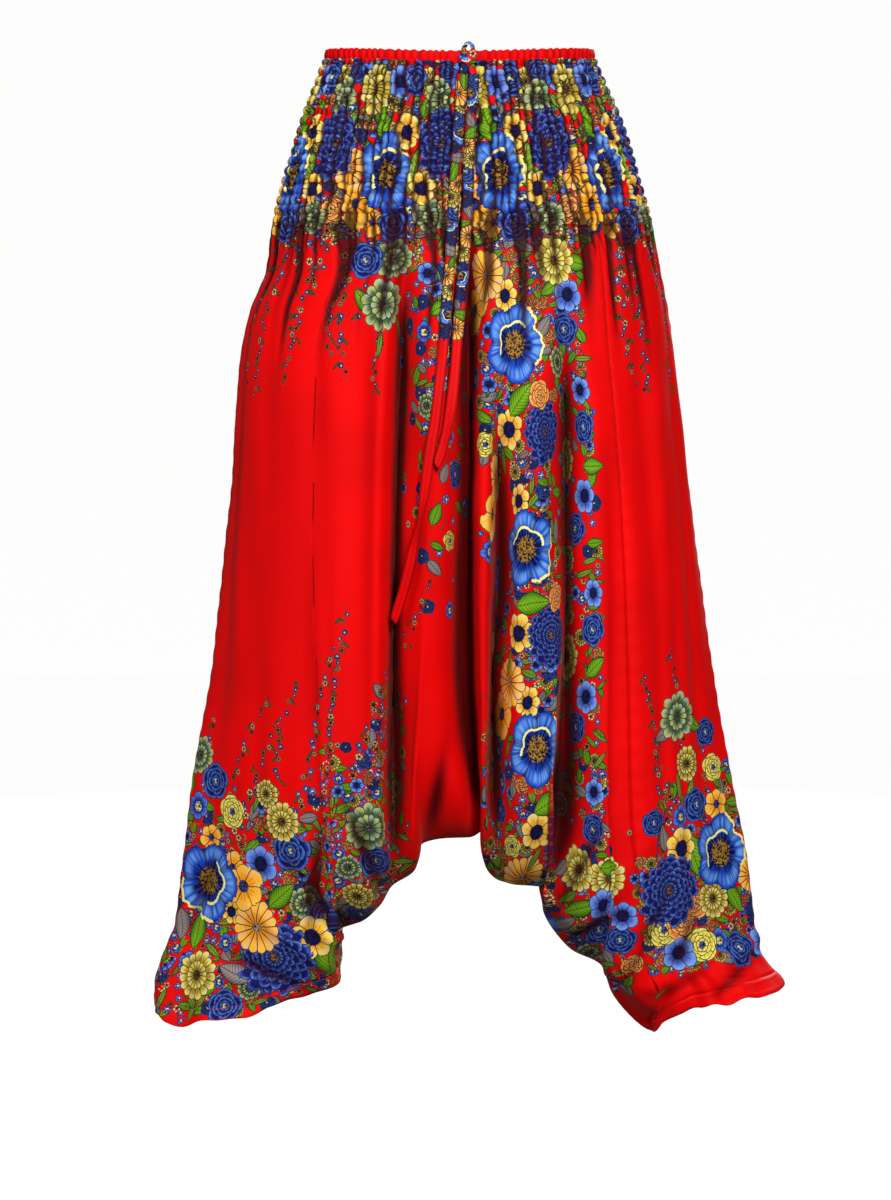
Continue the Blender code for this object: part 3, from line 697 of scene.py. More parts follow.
# The lower edge from one side seam to the other. Millimetres, with the share of the face.
LOWER_EDGE = (
    # name                         share     x   drop
    ("right hem, outer end",        0.00,  -293,  911),
    ("right hem, lowest",           0.02,  -281,  920),
    ("right hem, over the foot",    0.055, -253,  916),
    ("right hem, middle",           0.115, -208,  909),
    ("right hem, rising",           0.15,  -182,  900),
    ("right hem, inner part",       0.205, -143,  889),
    ("right ankle corner",          0.245, -115,  883),
    ("right inseam, foot",          0.30,  -117,  838),
    ("right inseam, low",           0.335,  -94,  827),
    ("right inseam, middle",        0.37,   -76,  811),
    ("right inseam, high",          0.40,   -66,  794),
    ("right of the crotch",         0.435,  -43,  777),
    ("crotch, right end",           0.46,   -37,  753),
    ("crotch, middle",              0.485,  -14,  747),
    ("crotch, left part",           0.51,    10,  746),
    ("crotch, left end",            0.53,    21,  740),
    ("band, inner drop",            0.555,   24,  772),
    ("band, low part",              0.585,   38,  788),
    ("band, outer end",             0.665,   83,  797),
    ("left inseam, high",           0.69,    80,  815),
    ("left inseam, middle",         0.72,   106,  854),
    ("left inseam, step",           0.745,  137,  871),
    ("left inseam, low",            0.76,   147,  898),
    ("left ankle corner",           0.785,  184,  934),
    ("left hem, folded part",       0.80,   194,  920),
    ("left hem, inner part",        0.825,  209,  907),
    ("left hem, middle",            0.89,   246,  896),
    ("left hem, over the foot",     0.95,   282,  891),
    ("left hem, outer end",         1.00,   314,  887),
)
X, DROP = 2, 3  # the columns of LOWER_EDGE
RIGHT_CORNER = 0.245
LEFT_CORNER = 0.785
BACK_SEAM = 0.5
FRONT_DIP = 7 * MM
FRONT_SEAM_STRAY = (
    # name        level  share
    ("yoke foot",  0.0,  -0.012),
    ("calf",       0.75, -0.010),
    ("shin",       0.92,  0.007),
    ("hem seam",   0.98,  0.0),
)
# The deep folds: their x at four drops, their depth, and their half width on the side of the
# wearer's right (steep or soft) and left leg. Millimetres.
FRONT_FOLDS = (
    # name              x1  drop1   x2 drop2   x3 drop3   x4 drop4  deep right left
    ("right of the bag", -51, 202, -59, 388,  -64, 650,  -63, 783,   26,    9,  12),
    ("left of the bag",    5, 168,   9, 370,    5, 562,   22, 738,   26,   12,  10),
    ("inner band",        33, 317,  34, 463,   29, 595,   31, 752,   25,    9,  13),
    ("outer band",        94, 260,  97, 494,   95, 683,   82, 790,   24,   11,  12),
)
BACK_FOLDS = (
    # name              x1  drop1   x2 drop2   x3 drop3   x4 drop4  deep right left
    ("right thigh",     -98, 230, -108, 420, -116, 620, -112, 800,   14,   12,  14),
    ("right seat",      -48, 190,  -52, 400,  -60, 640,  -62, 790,   20,   13,  10),
    ("middle seat",      19, 200,   21, 400,   18, 600,   19, 735,   15,   12,  12),
    ("left seat",        58, 190,   66, 410,   72, 650,   74, 790,   21,   10,  14),
    ("left thigh",      108, 240,  118, 430,  128, 640,  134, 850,   15,   13,  12),
)
FOLD_STARTS_OVER = 110 * MM
FOLD_ENDS_OVER = 60 * MM
FOLD_LEFT_AT_END = 0.5
LIP_RISE = 0.3
LIP_AWAY = 2.2
LIP_HALF_WIDTH = 1.2
CREVICE = 0.55  # how much deeper the cloth goes in the middle of a deep fold
CREVICE_WIDTH = 0.5
CLOTH_ROUND = 1.35  # the cloth round one face, for each metre between the side seams
FOLD_RANGE = np.linspace(0.2, 0.86, 133)
LEVELS_DRAWN = np.linspace(-1, 1, 121)


def curve_through(at, xs, ys):
    """A smooth curve through the points that never swings past them."""
    xs, ys = np.asarray(xs, float), np.asarray(ys, float)
    step, rise = np.diff(xs), np.diff(ys)
    chord = rise / step
    slope = np.concatenate([chord[:1], chord[:-1], chord[-1:]])
    before, after = chord[:-1], chord[1:]
    together = before * after > 0
    inner = np.zeros(len(before))
    inner[together] = 2 / (1 / before[together] + 1 / after[together])
    slope[1:-1] = inner
    at = np.clip(np.asarray(at, float), xs[0], xs[-1])
    k = np.clip(np.searchsorted(xs, at, side="right") - 1, 0, len(step) - 1)
    part = (at - xs[k]) / step[k]
    rest = 1 - part
    return (
        ys[k] * rest**2 * (1 + 2 * part)
        + ys[k + 1] * part**2 * (1 + 2 * rest)
        + step[k] * part * rest * (slope[k] * rest - slope[k + 1] * part)
    )


def ease(value, low, high):
    """A smooth step from 0 at low to 1 at high, for numbers. low may be the larger one."""
    part = np.clip((value - low) / (high - low), 0, 1)
    return part * part * (3 - 2 * part)


def section(drop, column):
    """One measure of the level sections, at any drop."""
    return curve_through(drop, [row[1] * MM for row in SECTIONS], [row[column] * MM for row in SECTIONS])


def lower_edge(share, column):
    """The x or the drop of the lower edge, at any share of the face."""
    return curve_through(share, [row[1] for row in LOWER_EDGE], [row[column] * MM for row in LOWER_EDGE])


def drop_at(share, level):
    """The drop of a level: -1 at the waist, 0 at the foot of the yoke and 1 at the lower edge."""
    above = YOKE_FOOT * (1 + level)
    below = YOKE_FOOT + level * (lower_edge(share, DROP) - YOKE_FOOT)
    return np.where(level < 0, above, below)


def angle_at(share, drop, back):
    """The angle round a level section, so that equal shares are nearly equal lengths of cloth."""
    width = (section(drop, LEFT) - section(drop, RIGHT)) / 2
    flatness = section(drop, BACK if back else FRONT) / width
    return pi * share + (1 - flatness) / (2 + 2 * flatness) * np.sin(2 * pi * share)


def across(share, drop, back):
    """The x of a share of the face, on the level section there."""
    right, left = section(drop, RIGHT), section(drop, LEFT)
    return (right + left) / 2 - (left - right) / 2 * np.cos(angle_at(share, drop, back))


def x_at(share, level, back):
    """The x of a place on the cloth, which is drawn to the lower edge as it nears it."""
    drawn = ease(level, DRAWN_FROM, 1.0)
    to_edge = lower_edge(share, X) - across(share, lower_edge(share, DROP), back)
    return across(share, drop_at(share, level), back) + drawn * to_edge


def ankle_depth(share, back):
    """How far the edges of the two round ankle openings stand from the plane of the side seams."""
    half = ANKLE_BACK if back else ANKLE_FRONT
    right = 1 - (share / RIGHT_CORNER * 2 - 1) ** 2
    left = 1 - ((share - LEFT_CORNER) / (1 - LEFT_CORNER) * 2 - 1) ** 2
    return half * np.sqrt(np.clip(right, 0, 1)) + half * np.sqrt(np.clip(left, 0, 1))


def depth_at(share, level, back):
    """How far the cloth stands from the plane of the side seams."""
    drop = drop_at(share, level)
    full = section(drop, BACK if back else FRONT) * np.sin(angle_at(share, drop, back))
    between_legs = np.exp(-(((share - 0.5) / FALL_BACK_WIDTH) ** 2))
    full = full * (1 - FALL_BACK * between_legs * ease(drop, FALL_BACK_FROM, FALL_BACK_TO))
    past_right = ease(share, RIGHT_CORNER - CORNER_WIDTH, RIGHT_CORNER + CORNER_WIDTH)
    past_left = ease(share, LEFT_CORNER - CORNER_WIDTH, LEFT_CORNER + CORNER_WIDTH)
    closing = CLOSING_AT_ANKLE + (CLOSING_AT_INSEAM - CLOSING_AT_ANKLE) * (past_right - past_left)
    closed = np.clip(1 - (lower_edge(share, DROP) - drop) / closing, 0, 1)
    near_corner = sum(np.exp(-(((share - c) / CORNER_WIDTH) ** 2)) for c in (RIGHT_CORNER, LEFT_CORNER))
    roundness = 2 - near_corner * ease(closed, CORNER_FLAT_FROM, CORNER_FLAT_TO)
    held_open = (1 - closed**roundness) ** (1 / roundness)
    return full * held_open + ankle_depth(share, back) * (1 - held_open)


def fold_line(fold, back):
    """The share at which a fold crosses each drawn level."""
    xs, drops = [v * MM for v in fold[1:9:2]], [v * MM for v in fold[2:9:2]]
    found = []
    for level in LEVELS_DRAWN:
        row = np.full(FOLD_RANGE.shape, level)
        line = curve_through(drop_at(FOLD_RANGE, row), drops, xs)
        found.append(np.interp(0, x_at(FOLD_RANGE, row, back) - line, FOLD_RANGE))
    return np.array(found)


FOLDS = {False: FRONT_FOLDS, True: BACK_FOLDS}
FOLD_LINES = {back: [fold_line(fold, back) for fold in FOLDS[back]] for back in FOLDS}


def fold_depth(fold, drop):
    """How deep a fold is at a drop: it begins and ends softly."""
    start, end = fold[2] * MM, fold[8] * MM
    begins = ease(drop, start - FOLD_STARTS_OVER / 3, start + FOLD_STARTS_OVER)
    ends = ease(drop, end - FOLD_ENDS_OVER, end)
    return fold[9] * MM * begins * (1 - (1 - FOLD_LEFT_AT_END) * ends)


def share_at(column, level, back):
    """Columns follow the front seam as it strays: the share that a column has on a row."""
    if back:
        return column
    levels = [row[1] for row in FRONT_SEAM_STRAY]
    stray = curve_through(level, levels, [row[2] for row in FRONT_SEAM_STRAY])
    return column + stray * np.interp(column, (RIGHT_CORNER, LEFT_CORNER, 1), (0, 1, 0))


def cloth(column, level, back):
    """Points of the cloth for arrays of columns and rows: smooth, and with its deep folds."""
    share = share_at(column, level, back)
    drop = drop_at(share, level)
    x, depth = x_at(share, level, back), depth_at(share, level, back)
    span = section(drop, LEFT) - section(drop, RIGHT)
    rise = 0.0
    for fold, line in zip(FOLDS[back], FOLD_LINES[back], strict=True):
        away = (share - np.interp(level, LEVELS_DRAWN, line)) * CLOTH_ROUND * span
        wide = np.where(away < 0, fold[10], fold[11]) * MM
        trough = np.exp(-((away / wide) ** 2)) + CREVICE * np.exp(-((away / (CREVICE_WIDTH * wide)) ** 2))
        lips = LIP_RISE * np.exp(-(((np.abs(away) - LIP_AWAY * wide) / (LIP_HALF_WIDTH * wide)) ** 2))
        rise = rise + fold_depth(fold, drop) * (lips - trough)
    still_open = np.clip((lower_edge(share, DROP) - drop) / CLOSING_AT_INSEAM, 0, 1)
    folded = np.maximum(depth + rise * np.sqrt(still_open), 0)
    dip = 0 if back else FRONT_DIP * np.clip(-level, 0, 1) * np.sin(pi * share) ** 2
    side = 1 if back else -1
    smooth_points = np.stack([x, side * depth, -(drop + dip)], -1)
    return smooth_points, np.stack([x, side * folded, -(drop + dip)], -1)


RIBS = 92  # ruffles round one face of the casing
CASING_COLUMNS = 560
CASING_ROWS = 12
RIB_HEIGHT = 1.0 * MM
FRILL = 0.8 * MM  # how far the ruffles lift the top edge
# how dark the colour is painted between the ruffles, as painted shade
RIB_SHADE = 0.45
STRIP_FOR_A_TURN = 0.2  # metres of the casing's threads for each radian round the waist

shares = np.linspace(0, 1, CASING_COLUMNS + 1)
ring_share = np.concatenate([shares[:-1], shares[:0:-1]])
ring_back = np.arange(2 * CASING_COLUMNS) >= CASING_COLUMNS
down = np.linspace(0, 1, CASING_ROWS)[:, None]
casing_level = -1 + 0.5 * CASING_DEPTH / YOKE_FOOT
ring = np.zeros((2 * CASING_COLUMNS, 3))
top_edge = np.zeros(2 * CASING_COLUMNS)
for back in (False, True):
    here = ring_back == back
    half_way = cloth(ring_share[here], np.full(here.sum(), casing_level), back)[1]
    ring[here] = half_way
    top_edge[here] = cloth(ring_share[here], np.full(here.sum(), -1.0), back)[1][:, 2]
round_ring = (np.roll(ring, -1, 0) - np.roll(ring, 1, 0))[:, :2]
ring_normal = np.stack([round_ring[:, 1], -round_ring[:, 0], np.zeros(len(ring))], 1)
ring_normal /= np.linalg.norm(ring_normal, axis=1)[:, None]
turns = np.arange(2 * CASING_COLUMNS) / (2 * CASING_COLUMNS) * tau
ribs = np.sin(turns * RIBS + 1.4 * np.sin(turns * 9) + 0.9 * np.sin(turns * 23))
ribs = ribs * (0.75 + 0.25 * np.sin(turns * 31 + 1))
bulge = 0.9 * MM * np.sin(down * pi) + RIB_HEIGHT * ribs * (0.55 + 0.45 * np.sin(down * pi))
casing_middle = np.repeat(ring[None], CASING_ROWS, 0) + ring_normal * bulge[..., None]
casing_middle[..., 2] = top_edge - down * CASING_DEPTH + (1 - down) ** 3 * FRILL * (0.6 + ribs)
casing_cloth = printed_cloth("casing cloth", roughness=0.66, plain=True)
casing_flat = np.stack(np.meshgrid(down[:, 0] * CASING_DEPTH, turns * STRIP_FOR_A_TURN, indexing="ij"), 2)
casing_normal = np.repeat(ring_normal[None], CASING_ROWS, 0)
# painted shade between the ruffles, darkest in their valleys
rib_painted_shade = RIB_SHADE * np.clip(-ribs, 0, 1) + 0 * down
casing = shell("casing", casing_middle, casing_normal, CASING_CLOTH, casing_flat, rib_painted_shade, loop=True)
casing.data.materials.append(casing_cloth)
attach(casing, "root")
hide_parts("waist_casing")

# THE KNOT
# The strap's own knot at the centre front, drawn tight against the casing. One turn wraps round
# the two ends that leave it, and a small loop stands up just above the waist.
KNOT_MIDDLE = np.array((7, -99.9, -16)) * MM
KNOT_ROUTES = (
    # width and thickness, and points down the middle of the strap from the knot's middle, in millimetres
    ("wrap",  6.6, 2.2, ((-7, 1.5, 2), (-7.5, -2.2, 1), (-3, -4.0, -1), (3, -4.1, 0),
                         (7.5, -2.2, 2), (7.5, 1.5, 3))),
    ("loop",  5.4, 1.8, ((-2, -1.2, -4), (-4.5, -2.4, 4), (-3.6, -1.2, 12), (0.5, 0.4, 16.5),
                         (4.0, -0.6, 12), (3.4, -2.2, 4), (1, -1.4, -4))),
    ("drop",  7.6, 2.0, ((5, -0.6, 8), (1.5, -2.4, 2), (-3, -2.5, -5), (-5.3, -1.4, -11.8))),
    ("cross", 7.2, 2.0, ((-6, 0.8, 7), (-1.5, -1.0, 1), (3, -0.9, -6), (5.0, -0.9, -11.8))),
)


def band_along(route, width, thick, sides=14):
    """The rings of a flat rounded band along a smooth curve through the points."""
    points, along = strap_points(route)
    forward = np.gradient(points, axis=0)
    forward /= np.linalg.norm(forward, axis=1)[:, None]
    facing = points - points.mean(0) + (0, -5 * MM, 0)
    facing -= forward * (facing * forward).sum(1)[:, None]
    facing /= np.linalg.norm(facing, axis=1)[:, None]
    side = np.cross(forward, facing)
    turn = np.arange(sides) / sides * tau
    over_width = side[:, None] * (np.cos(turn) * width / 2)[:, None]
    over_thickness = facing[:, None] * (np.sin(turn) * thick / 2)[:, None]
    return points[:, None] + (over_width + over_thickness)


knot_points, knot_faces = [], []
for name, width, thick, route in KNOT_ROUTES:
    rings = band_along(route, width * MM, thick * MM)
    start, sides = len(knot_points), rings.shape[1]
    knot_points += (rings + KNOT_MIDDLE).reshape(-1, 3).tolist()
    face_rows, face_columns = grid_faces(len(rings), sides, loop=True)
    knot_faces += (start + face_rows * sides + face_columns).tolist()
    last = start + (len(rings) - 1) * sides
    knot_faces += [[start + c for c in range(sides)], [last + c for c in range(sides)][::-1]]
knot_mesh = bpy.data.meshes.new("knot")
knot_mesh.from_pydata(knot_points, [], knot_faces)
knot_mesh.shade_smooth()
corner_points = np.array([knot_points[v] for face in knot_faces for v in face])
faces_of = np.repeat(np.arange(len(knot_faces)), [len(face) for face in knot_faces])
KNOT_PRINT = (
    # kind            x   z  radius, in millimetres from the knot's middle
    ("blue poppy",   -3,  9, 11),
    ("green leaf",    7, -3,  7),
    ("blue rose",    -6, -8,  7),
    ("cream blossom", 4,  6,  4),
)
layers = [np.tile(NO_MOTIF, (len(corner_points), 1)) for _ in LAYERS]
for number, (kind, x, z, radius) in enumerate(KNOT_PRINT):
    away = (corner_points - KNOT_MIDDLE)[:, [0, 2]] / MM - (x, z)
    layer = layers[number % len(LAYERS)]
    reach = np.full(len(knot_faces), 99.0)
    np.minimum.at(reach, faces_of, np.hypot(*away.T))
    near = (reach < radius + 1)[faces_of]
    layer[near, :2] = away[near] / radius
    layer[near, 2] = KIND[kind] + radius * MM / LARGEST_MOTIF
for name, layer in zip(LAYERS, layers, strict=True):
    knot_mesh.attributes.new(name, "FLOAT_VECTOR", "CORNER").data.foreach_set("vector", layer.ravel())
knot = put_in_scene("knot", knot_mesh)
knot_mesh.materials.append(tie_cloth)
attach(knot, "root")
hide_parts("tie_knot")

# THE YOKE
# The top of the printed cloth, gathered on about sixteen rows of elastic thread. Between the
# rows it puffs out, and fine upright gathers run through them. The border print is dense here.
CLOTH = 0.9 * MM
EDGE_ROOM = 0.00012  # how near a sewn edge comes to its seam, as a share of the face
YOKE_COLUMNS = 485
YOKE_ROWS = 100
FIRST_THREAD = 14 * MM
THREAD_PITCH = 9.3 * MM
PUFF = 1.6 * MM
GATHERS = 50  # across one face
HELD_TO = 14 * MM  # above the yoke's foot, where the gathers begin to open
OPEN_FROM = 45 * MM  # below it, where they have opened out
SIDE_SEAM_ROOM = 0.006  # beside a side seam, where they flatten, as a share of the face
GATHER_SHADOW = 1.5 * MM  # how far below its crest a gather begins to be painted in shade
TUCK = 3.2 * MM  # how much of the print each gather hides
GATHER_HEIGHT = 2.6 * MM
LET_GO = 27  # the gathers that run on below the yoke as soft folds
LET_GO_DEPTH = 3.0 * MM
LET_GO_WIDTH = 4.6 * MM

# The print, as it lies on the cloth: kind, place, radius and turn. A dense border covers the
# yoke and repeats four times round each face. Shares of a face and millimetres.
YOKE_REPEAT = (
    # kind            share  drop  radius  degrees  narrow
    ("blue poppy",    0.000,  117,  39,   90,  0.64),
    ("anemone",       0.080,  131,  17,   10,  0.72),
    ("slim leaf",     0.062,  112,  27,   86,  0.80),
    ("amber poppy",  -0.058,  146,  23,   30,  0.72),
    ("amber fan",    -0.085,  112,  22,  200,  0.72),
    ("anemone",       0.040,   78,  18,   40,  0.68),
    ("navy dahlia",   0.118,   88,  34,   20,  0.66),
    ("yellow mum",   -0.052,   38,  25,    0,  0.62),
    ("green leaf",   -0.022,   68,  20,  110,  0.72),
    ("green mum",     0.112,   46,  19,    0,  0.70),
    ("periwinkle",    0.010,   30,  17,    0,  0.62),
    ("blue rose",     0.050,   27,  17,   60,  0.62),
    ("yellow mum",    0.085,   30,  14,    0,  0.62),
    ("blue rose",     0.022,  163,  18,   10,  0.80),
    ("green mum",     0.100,  158,  16,   10,  0.80),
    ("amber poppy",  -0.020,  163,  14,    0,  0.80),
    ("grey leaf",     0.078,  150,  17,   60,  0.80),
    ("blue blossom",  0.055,  152,  11,    0,  0.80),
    ("orange rose",  -0.110,  150,  14,   10,  0.80),
    ("slim leaf",    -0.100,   70,  17,   70,  0.72),
    ("grey leaf",    -0.090,   88,  15,  100,  0.72),
    ("periwinkle",   -0.085,   25,  15,    0,  0.62),
    ("blue rose",     0.130,   20,  13,    0,  0.62),
)
YOKE_REPEATS = 4
FIRST_REPEAT = 0.088
# Below the yoke on the front: places seen from the front, in millimetres across and down.
MIDDLE_PRINT = (
    # kind              x   drop  radius  degrees
    ("blue rose",      -86,  197,  17,   20),
    ("green mum",      -60,  197,  19,    0),
    ("green mum",      -70,  238,  24,   30),
    ("green leaf",     -88,  232,  15,  130),
    ("slim leaf",      -56,  262,  16,  -60),
    ("slim leaf",      -74,  272,  14,  -95),
    ("yellow mum",      -3,  196,  14,    0),
    ("periwinkle",     -30,  210,  11,    0),
    ("blue blossom",   -34,  262,  10,    0),
    ("green leaf",     -18,  240,  13,   30),
    ("blue rose",        2,  262,  14,    0),
    ("blue blossom",    -4,  330,  12,    0),
    ("blue rose",       -2,  395,  14,    0),
    ("green mum",      -30,  330,  12,    0),
    ("yellow rose",     -8,  455,  11,    0),
    ("blue blossom",   -10,  520,   9,    0),
    ("green leaf",     -22,  430,  12,   70),
)
# The upright border beside the front seam, once every so far down. Across is from the seam
# towards the middle, down is from the top of each repeat, in millimetres.
BAND_REPEAT_FROM = 196 * MM
BAND_REPEAT = 187 * MM
BAND_REPEATS = 4
BAND_NARROW = 0.78  # the soft folds there draw the print together
BAND_PRINT = (
    # kind            across down  radius  degrees
    ("blue poppy",      92,   78,  37,   60),
    ("amber fan",      118,   16,  24,  -30),
    ("amber poppy",    126,   48,  25,   10),
    ("anemone",         98,   34,  16,    0),
    ("yellow mum",      44,    2,  23,    0),
    ("green leaf",      22,    4,  16,   10),
    ("periwinkle",      32,   34,  17,    0),
    ("green leaf",      55,   28,  12,  200),
    ("blue rose",       38,   66,  16,    0),
    ("grey leaf",       60,   62,  14,   70),
    ("green mum",       46,   96,  15,    0),
    ("slim leaf",       24,   92,  13,   20),
    ("periwinkle",      26,  122,  14,    0),
    ("orange rose",     64,  124,  15,    0),
    ("green leaf",      88,  128,  21,   30),
    ("navy dahlia",     68,  158,  30,    0),
    ("blue rose",       28,  156,  16,   30),
    ("anemone",        104,  156,  19,    0),
    ("blue blossom",   128,  112,  13,    0),
    ("grey leaf",       54,  186,  14,   10),
    ("green mum",       46,  140,  13,    0),
    ("blue rose",      134,  138,  14,    0),
    ("yellow rose",    130,  172,  13,    0),
    ("slim leaf",      112,  184,  16,   80),
    ("blue blossom",   132,   84,  12,    0),
)
# The lower border over each foot, seen from the front, in millimetres across and down.
RIGHT_LEG_PRINT = (
    # kind              x   drop  radius  degrees
    ("blue poppy",    -240,  785,  38,  -70),
    ("amber poppy",   -203,  786,  23,   10),
    ("amber poppy",   -216,  766,  17,   50),
    ("amber fan",     -192,  822,  26,  140),
    ("anemone",       -217,  808,  13,    0),
    ("navy dahlia",   -174,  853,  38,    0),
    ("anemone",       -139,  830,  20,    0),
    ("yellow rose",   -216,  714,  18,    0),
    ("yellow mum",    -168,  718,  19,    0),
    ("blue rose",     -157,  749,  20,    0),
    ("periwinkle",    -187,  762,  19,    0),
    ("blue rose",     -232,  686,  18,    0),
    ("green leaf",    -167,  790,  19,   40),
    ("green leaf",    -252,  836,  18,  -90),
    ("grey leaf",     -268,  830,  17,  -70),
    ("yellow mum",    -250,  876,  23,    0),
    ("blue rose",     -224,  898,  17,    0),
    ("grey leaf",     -212,  868,  18,  160),
    ("green mum",     -200,  882,  12,    0),
    ("green leaf",    -124,  850,  24,   70),
    ("blue rose",     -128,  812,  18,    0),
    ("green mum",     -146,  795,  16,    0),
    ("blue blossom",  -262,  862,  11,    0),
    ("blue blossom",  -222,  842,   9,    0),
    ("amber poppy",   -237,  740,  14,    0),
    ("blue blossom",  -250,  712,  14,    0),
    ("green mum",     -247,  666,  19,    0),
    ("green leaf",    -262,  690,  15,  100),
    ("yellow mum",    -182,  692,  14,    0),
    ("green mum",      -85,  722,  24,   15),
    ("blue rose",      -76,  758,  17,    0),
    ("green mum",     -104,  760,  13,    0),
    ("yellow mum",     -96,  790,  14,    0),
    ("blue blossom",  -112,  776,   9,    0),
    ("slim leaf",      -82,  786,  16,   30),
    ("blue rose",      -92,  812,  12,    0),
    ("grey leaf",     -108,  808,  12,   60),
    ("lilac stalk",   -140,  765,  22,   60),
    ("lilac stalk",   -134,  770,  20,   75),
)
LEFT_LEG_PRINT = (
    # kind              x   drop  radius  degrees
    ("blue poppy",     248,  758,  37,   80),
    ("navy dahlia",    196,  785,  36,    0),
    ("anemone",        207,  746,  20,    0),
    ("green leaf",     222,  756,  24,  -70),
    ("yellow mum",     240,  800,  19,    0),
    ("orange rose",    222,  800,  17,    0),
    ("orange rose",    210,  820,  18,    0),
    ("yellow rose",    192,  822,  18,    0),
    ("periwinkle",     207,  845,  18,    0),
    ("yellow rose",    230,  840,  18,    0),
    ("blue blossom",   245,  838,  12,    0),
    ("blue rose",      265,  848,  17,    0),
    ("periwinkle",     290,  846,  17,    0),
    ("green leaf",     262,  800,  17,  -60),
    ("amber poppy",    243,  708,  16,    0),
    ("blue rose",      222,  706,  17,    0),
    ("blue blossom",   206,  716,  12,    0),
    ("green mum",      204,  622,  24,    0),
    ("green leaf",     220,  634,  16,   -20),
    ("grey leaf",      190,  640,  13,  200),
    ("yellow rose",    240,  674,  15,    0),
    ("yellow mum",     212,  668,  17,    0),
    ("slim leaf",      216,  694,  18,   80),
    ("slim leaf",      204,  690,  16,  100),
    ("blue rose",      232,  640,  14,    0),
    ("grey leaf",      190,  735,  14,  100),
    ("blue rose",      182,  720,  13,    0),
    ("lilac stalk",    184,  742,  20,   85),
    ("green mum",      276,  712,  17,    0),
    ("amber fan",      284,  780,  18,    0),
    ("navy dahlia",    284,  820,  16,    0),
    ("yellow mum",     138,  770,  21,    0),
    ("periwinkle",     150,  806,  15,    0),
    ("blue rose",      153,  834,  15,    0),
    ("green leaf",     112,  802,  16,   30),
    ("anemone",        128,  826,  13,    0),
    ("orange rose",    164,  856,  11,    0),
    ("blue blossom",   104,  776,  11,    0),
    ("grey leaf",      140,  848,  11,  -50),
)
RIGHT_LEG_MIDDLE = -190  # where the lower border is turned round for the back of that leg
LEFT_LEG_OVER = 20  # it is turned round over to the other leg too, and lifted
LEFT_LEG_LIFT = 12
FARTHEST_PLACE = 7 * MM  # a motif whose place is farther than this from the cloth is left out
# What fills the ground between them, with the least and the largest radius in millimetres.
FLORETS = (
    ("cream blossom", 2.8, 4.6), ("rust blossom", 2.8, 4.8), ("lilac blossom", 3.0, 5.2),
    ("blue blossom", 4.0, 8.0), ("slim leaf", 8.0, 14.0), ("green leaf", 7.0, 12.0),
    ("grey leaf", 7.0, 12.5), ("slim leaf", 8.0, 14.0), ("yellow mum", 5.5, 9.0),
    ("periwinkle", 5.5, 8.5), ("blue rose", 5.5, 9.5), ("orange rose", 5.0, 7.5),
    ("lilac stalk", 9.0, 14.0), ("green leaf", 6.0, 10.0), ("cream blossom", 2.8, 4.4),
    ("lilac blossom", 2.8, 4.8),
)
FLORET_STEP = 7.4 * MM
BAG_SHARES = (0.425, 0.548)  # the plain middle, between the two deep folds
BAG_ROOM = 0.012
MIDDLE_PRINT_FROM = 0.40
MIDDLE_PRINT_END = 560 * MM
BAND_WIDTH = 132 * MM
PLAIN_SEAM_FROM = 620 * MM
PLAIN_HEM = 32 * MM  # of the wearer's left leg
SEAM_STRIP = 17 * MM  # plain, beside the front seam
SPRAY_STEP = 5.6 * MM
SPRAYS_ABOVE, SPRAYS_BELOW = 30, 22  # on each face, below the yoke and above the lower border
SPRAY_BLOSSOMS = ("lilac blossom", "cream blossom", "rust blossom", "blue blossom")

PLACE_COLUMNS, PLACE_LEVELS = np.linspace(0, 1, 251), np.linspace(-1, 1, 251)
PLACES = {back: cloth(*np.meshgrid(PLACE_COLUMNS, PLACE_LEVELS), back) for back in (False, True)}


def walked(points, axis):
    """How far it is over the cloth to each of the points, along their rows or columns."""
    steps = np.linalg.norm(np.diff(points, axis=axis), axis=2)
    return np.concatenate([np.zeros_like(steps.take([0], axis)), np.cumsum(steps, axis)], axis)


WALKED_ACROSS = {back: walked(PLACES[back][1][..., :2], 1) for back in (False, True)}  # level distances
WALKED_DOWN = {back: walked(PLACES[back][0], 0) for back in (False, True)}


def read_off(table, columns, levels):
    """A table over the places, read between its rows and columns."""
    c = np.clip(columns, 0, 1) * (len(PLACE_COLUMNS) - 1)
    r = (np.clip(levels, -1, 1) + 1) / 2 * (len(PLACE_LEVELS) - 1)
    c_low = np.minimum(c.astype(int), len(PLACE_COLUMNS) - 2)
    r_low = np.minimum(r.astype(int), len(PLACE_LEVELS) - 2)
    c, r = c - c_low, r - r_low
    upper = table[r_low, c_low] * (1 - c) + table[r_low, c_low + 1] * c
    lower = table[r_low + 1, c_low] * (1 - c) + table[r_low + 1, c_low + 1] * c
    return upper * (1 - r) + lower * r


def place_seen(x, drop, back):
    """The column and level of the place seen there from the front or back, and how far off it is."""
    off = np.hypot(PLACES[back][0][..., 0] - x, -PLACES[back][0][..., 2] - drop)
    row, column = np.unravel_index(off.argmin(), off.shape)
    return PLACE_COLUMNS[column], PLACE_LEVELS[row], off[row, column]


def seam_share(level):
    """Where the front seam is at a level, as a share of the face."""
    return share_at(LEFT_CORNER, level, False)


def width_round(drop):
    """The cloth round one face at a drop."""
    return CLOTH_ROUND * (section(drop, LEFT) - section(drop, RIGHT))


prints = {False: [], True: []}


def lay(back, kind, column, level, radius, degrees=0.0, narrow=1.0):
    """Print a motif on a face. narrow is how far the gathers there draw it together."""
    prints[back].append((KIND[kind], column, level, radius, degrees, narrow))


def level_at(share, drop):
    """The level of a drop: -1 at the waist, 0 at the foot of the yoke and 1 at the lower edge."""
    below = (drop - YOKE_FOOT) / (lower_edge(share, DROP) - YOKE_FOOT)
    return np.where(np.asarray(drop) < YOKE_FOOT, drop / YOKE_FOOT - 1, below)


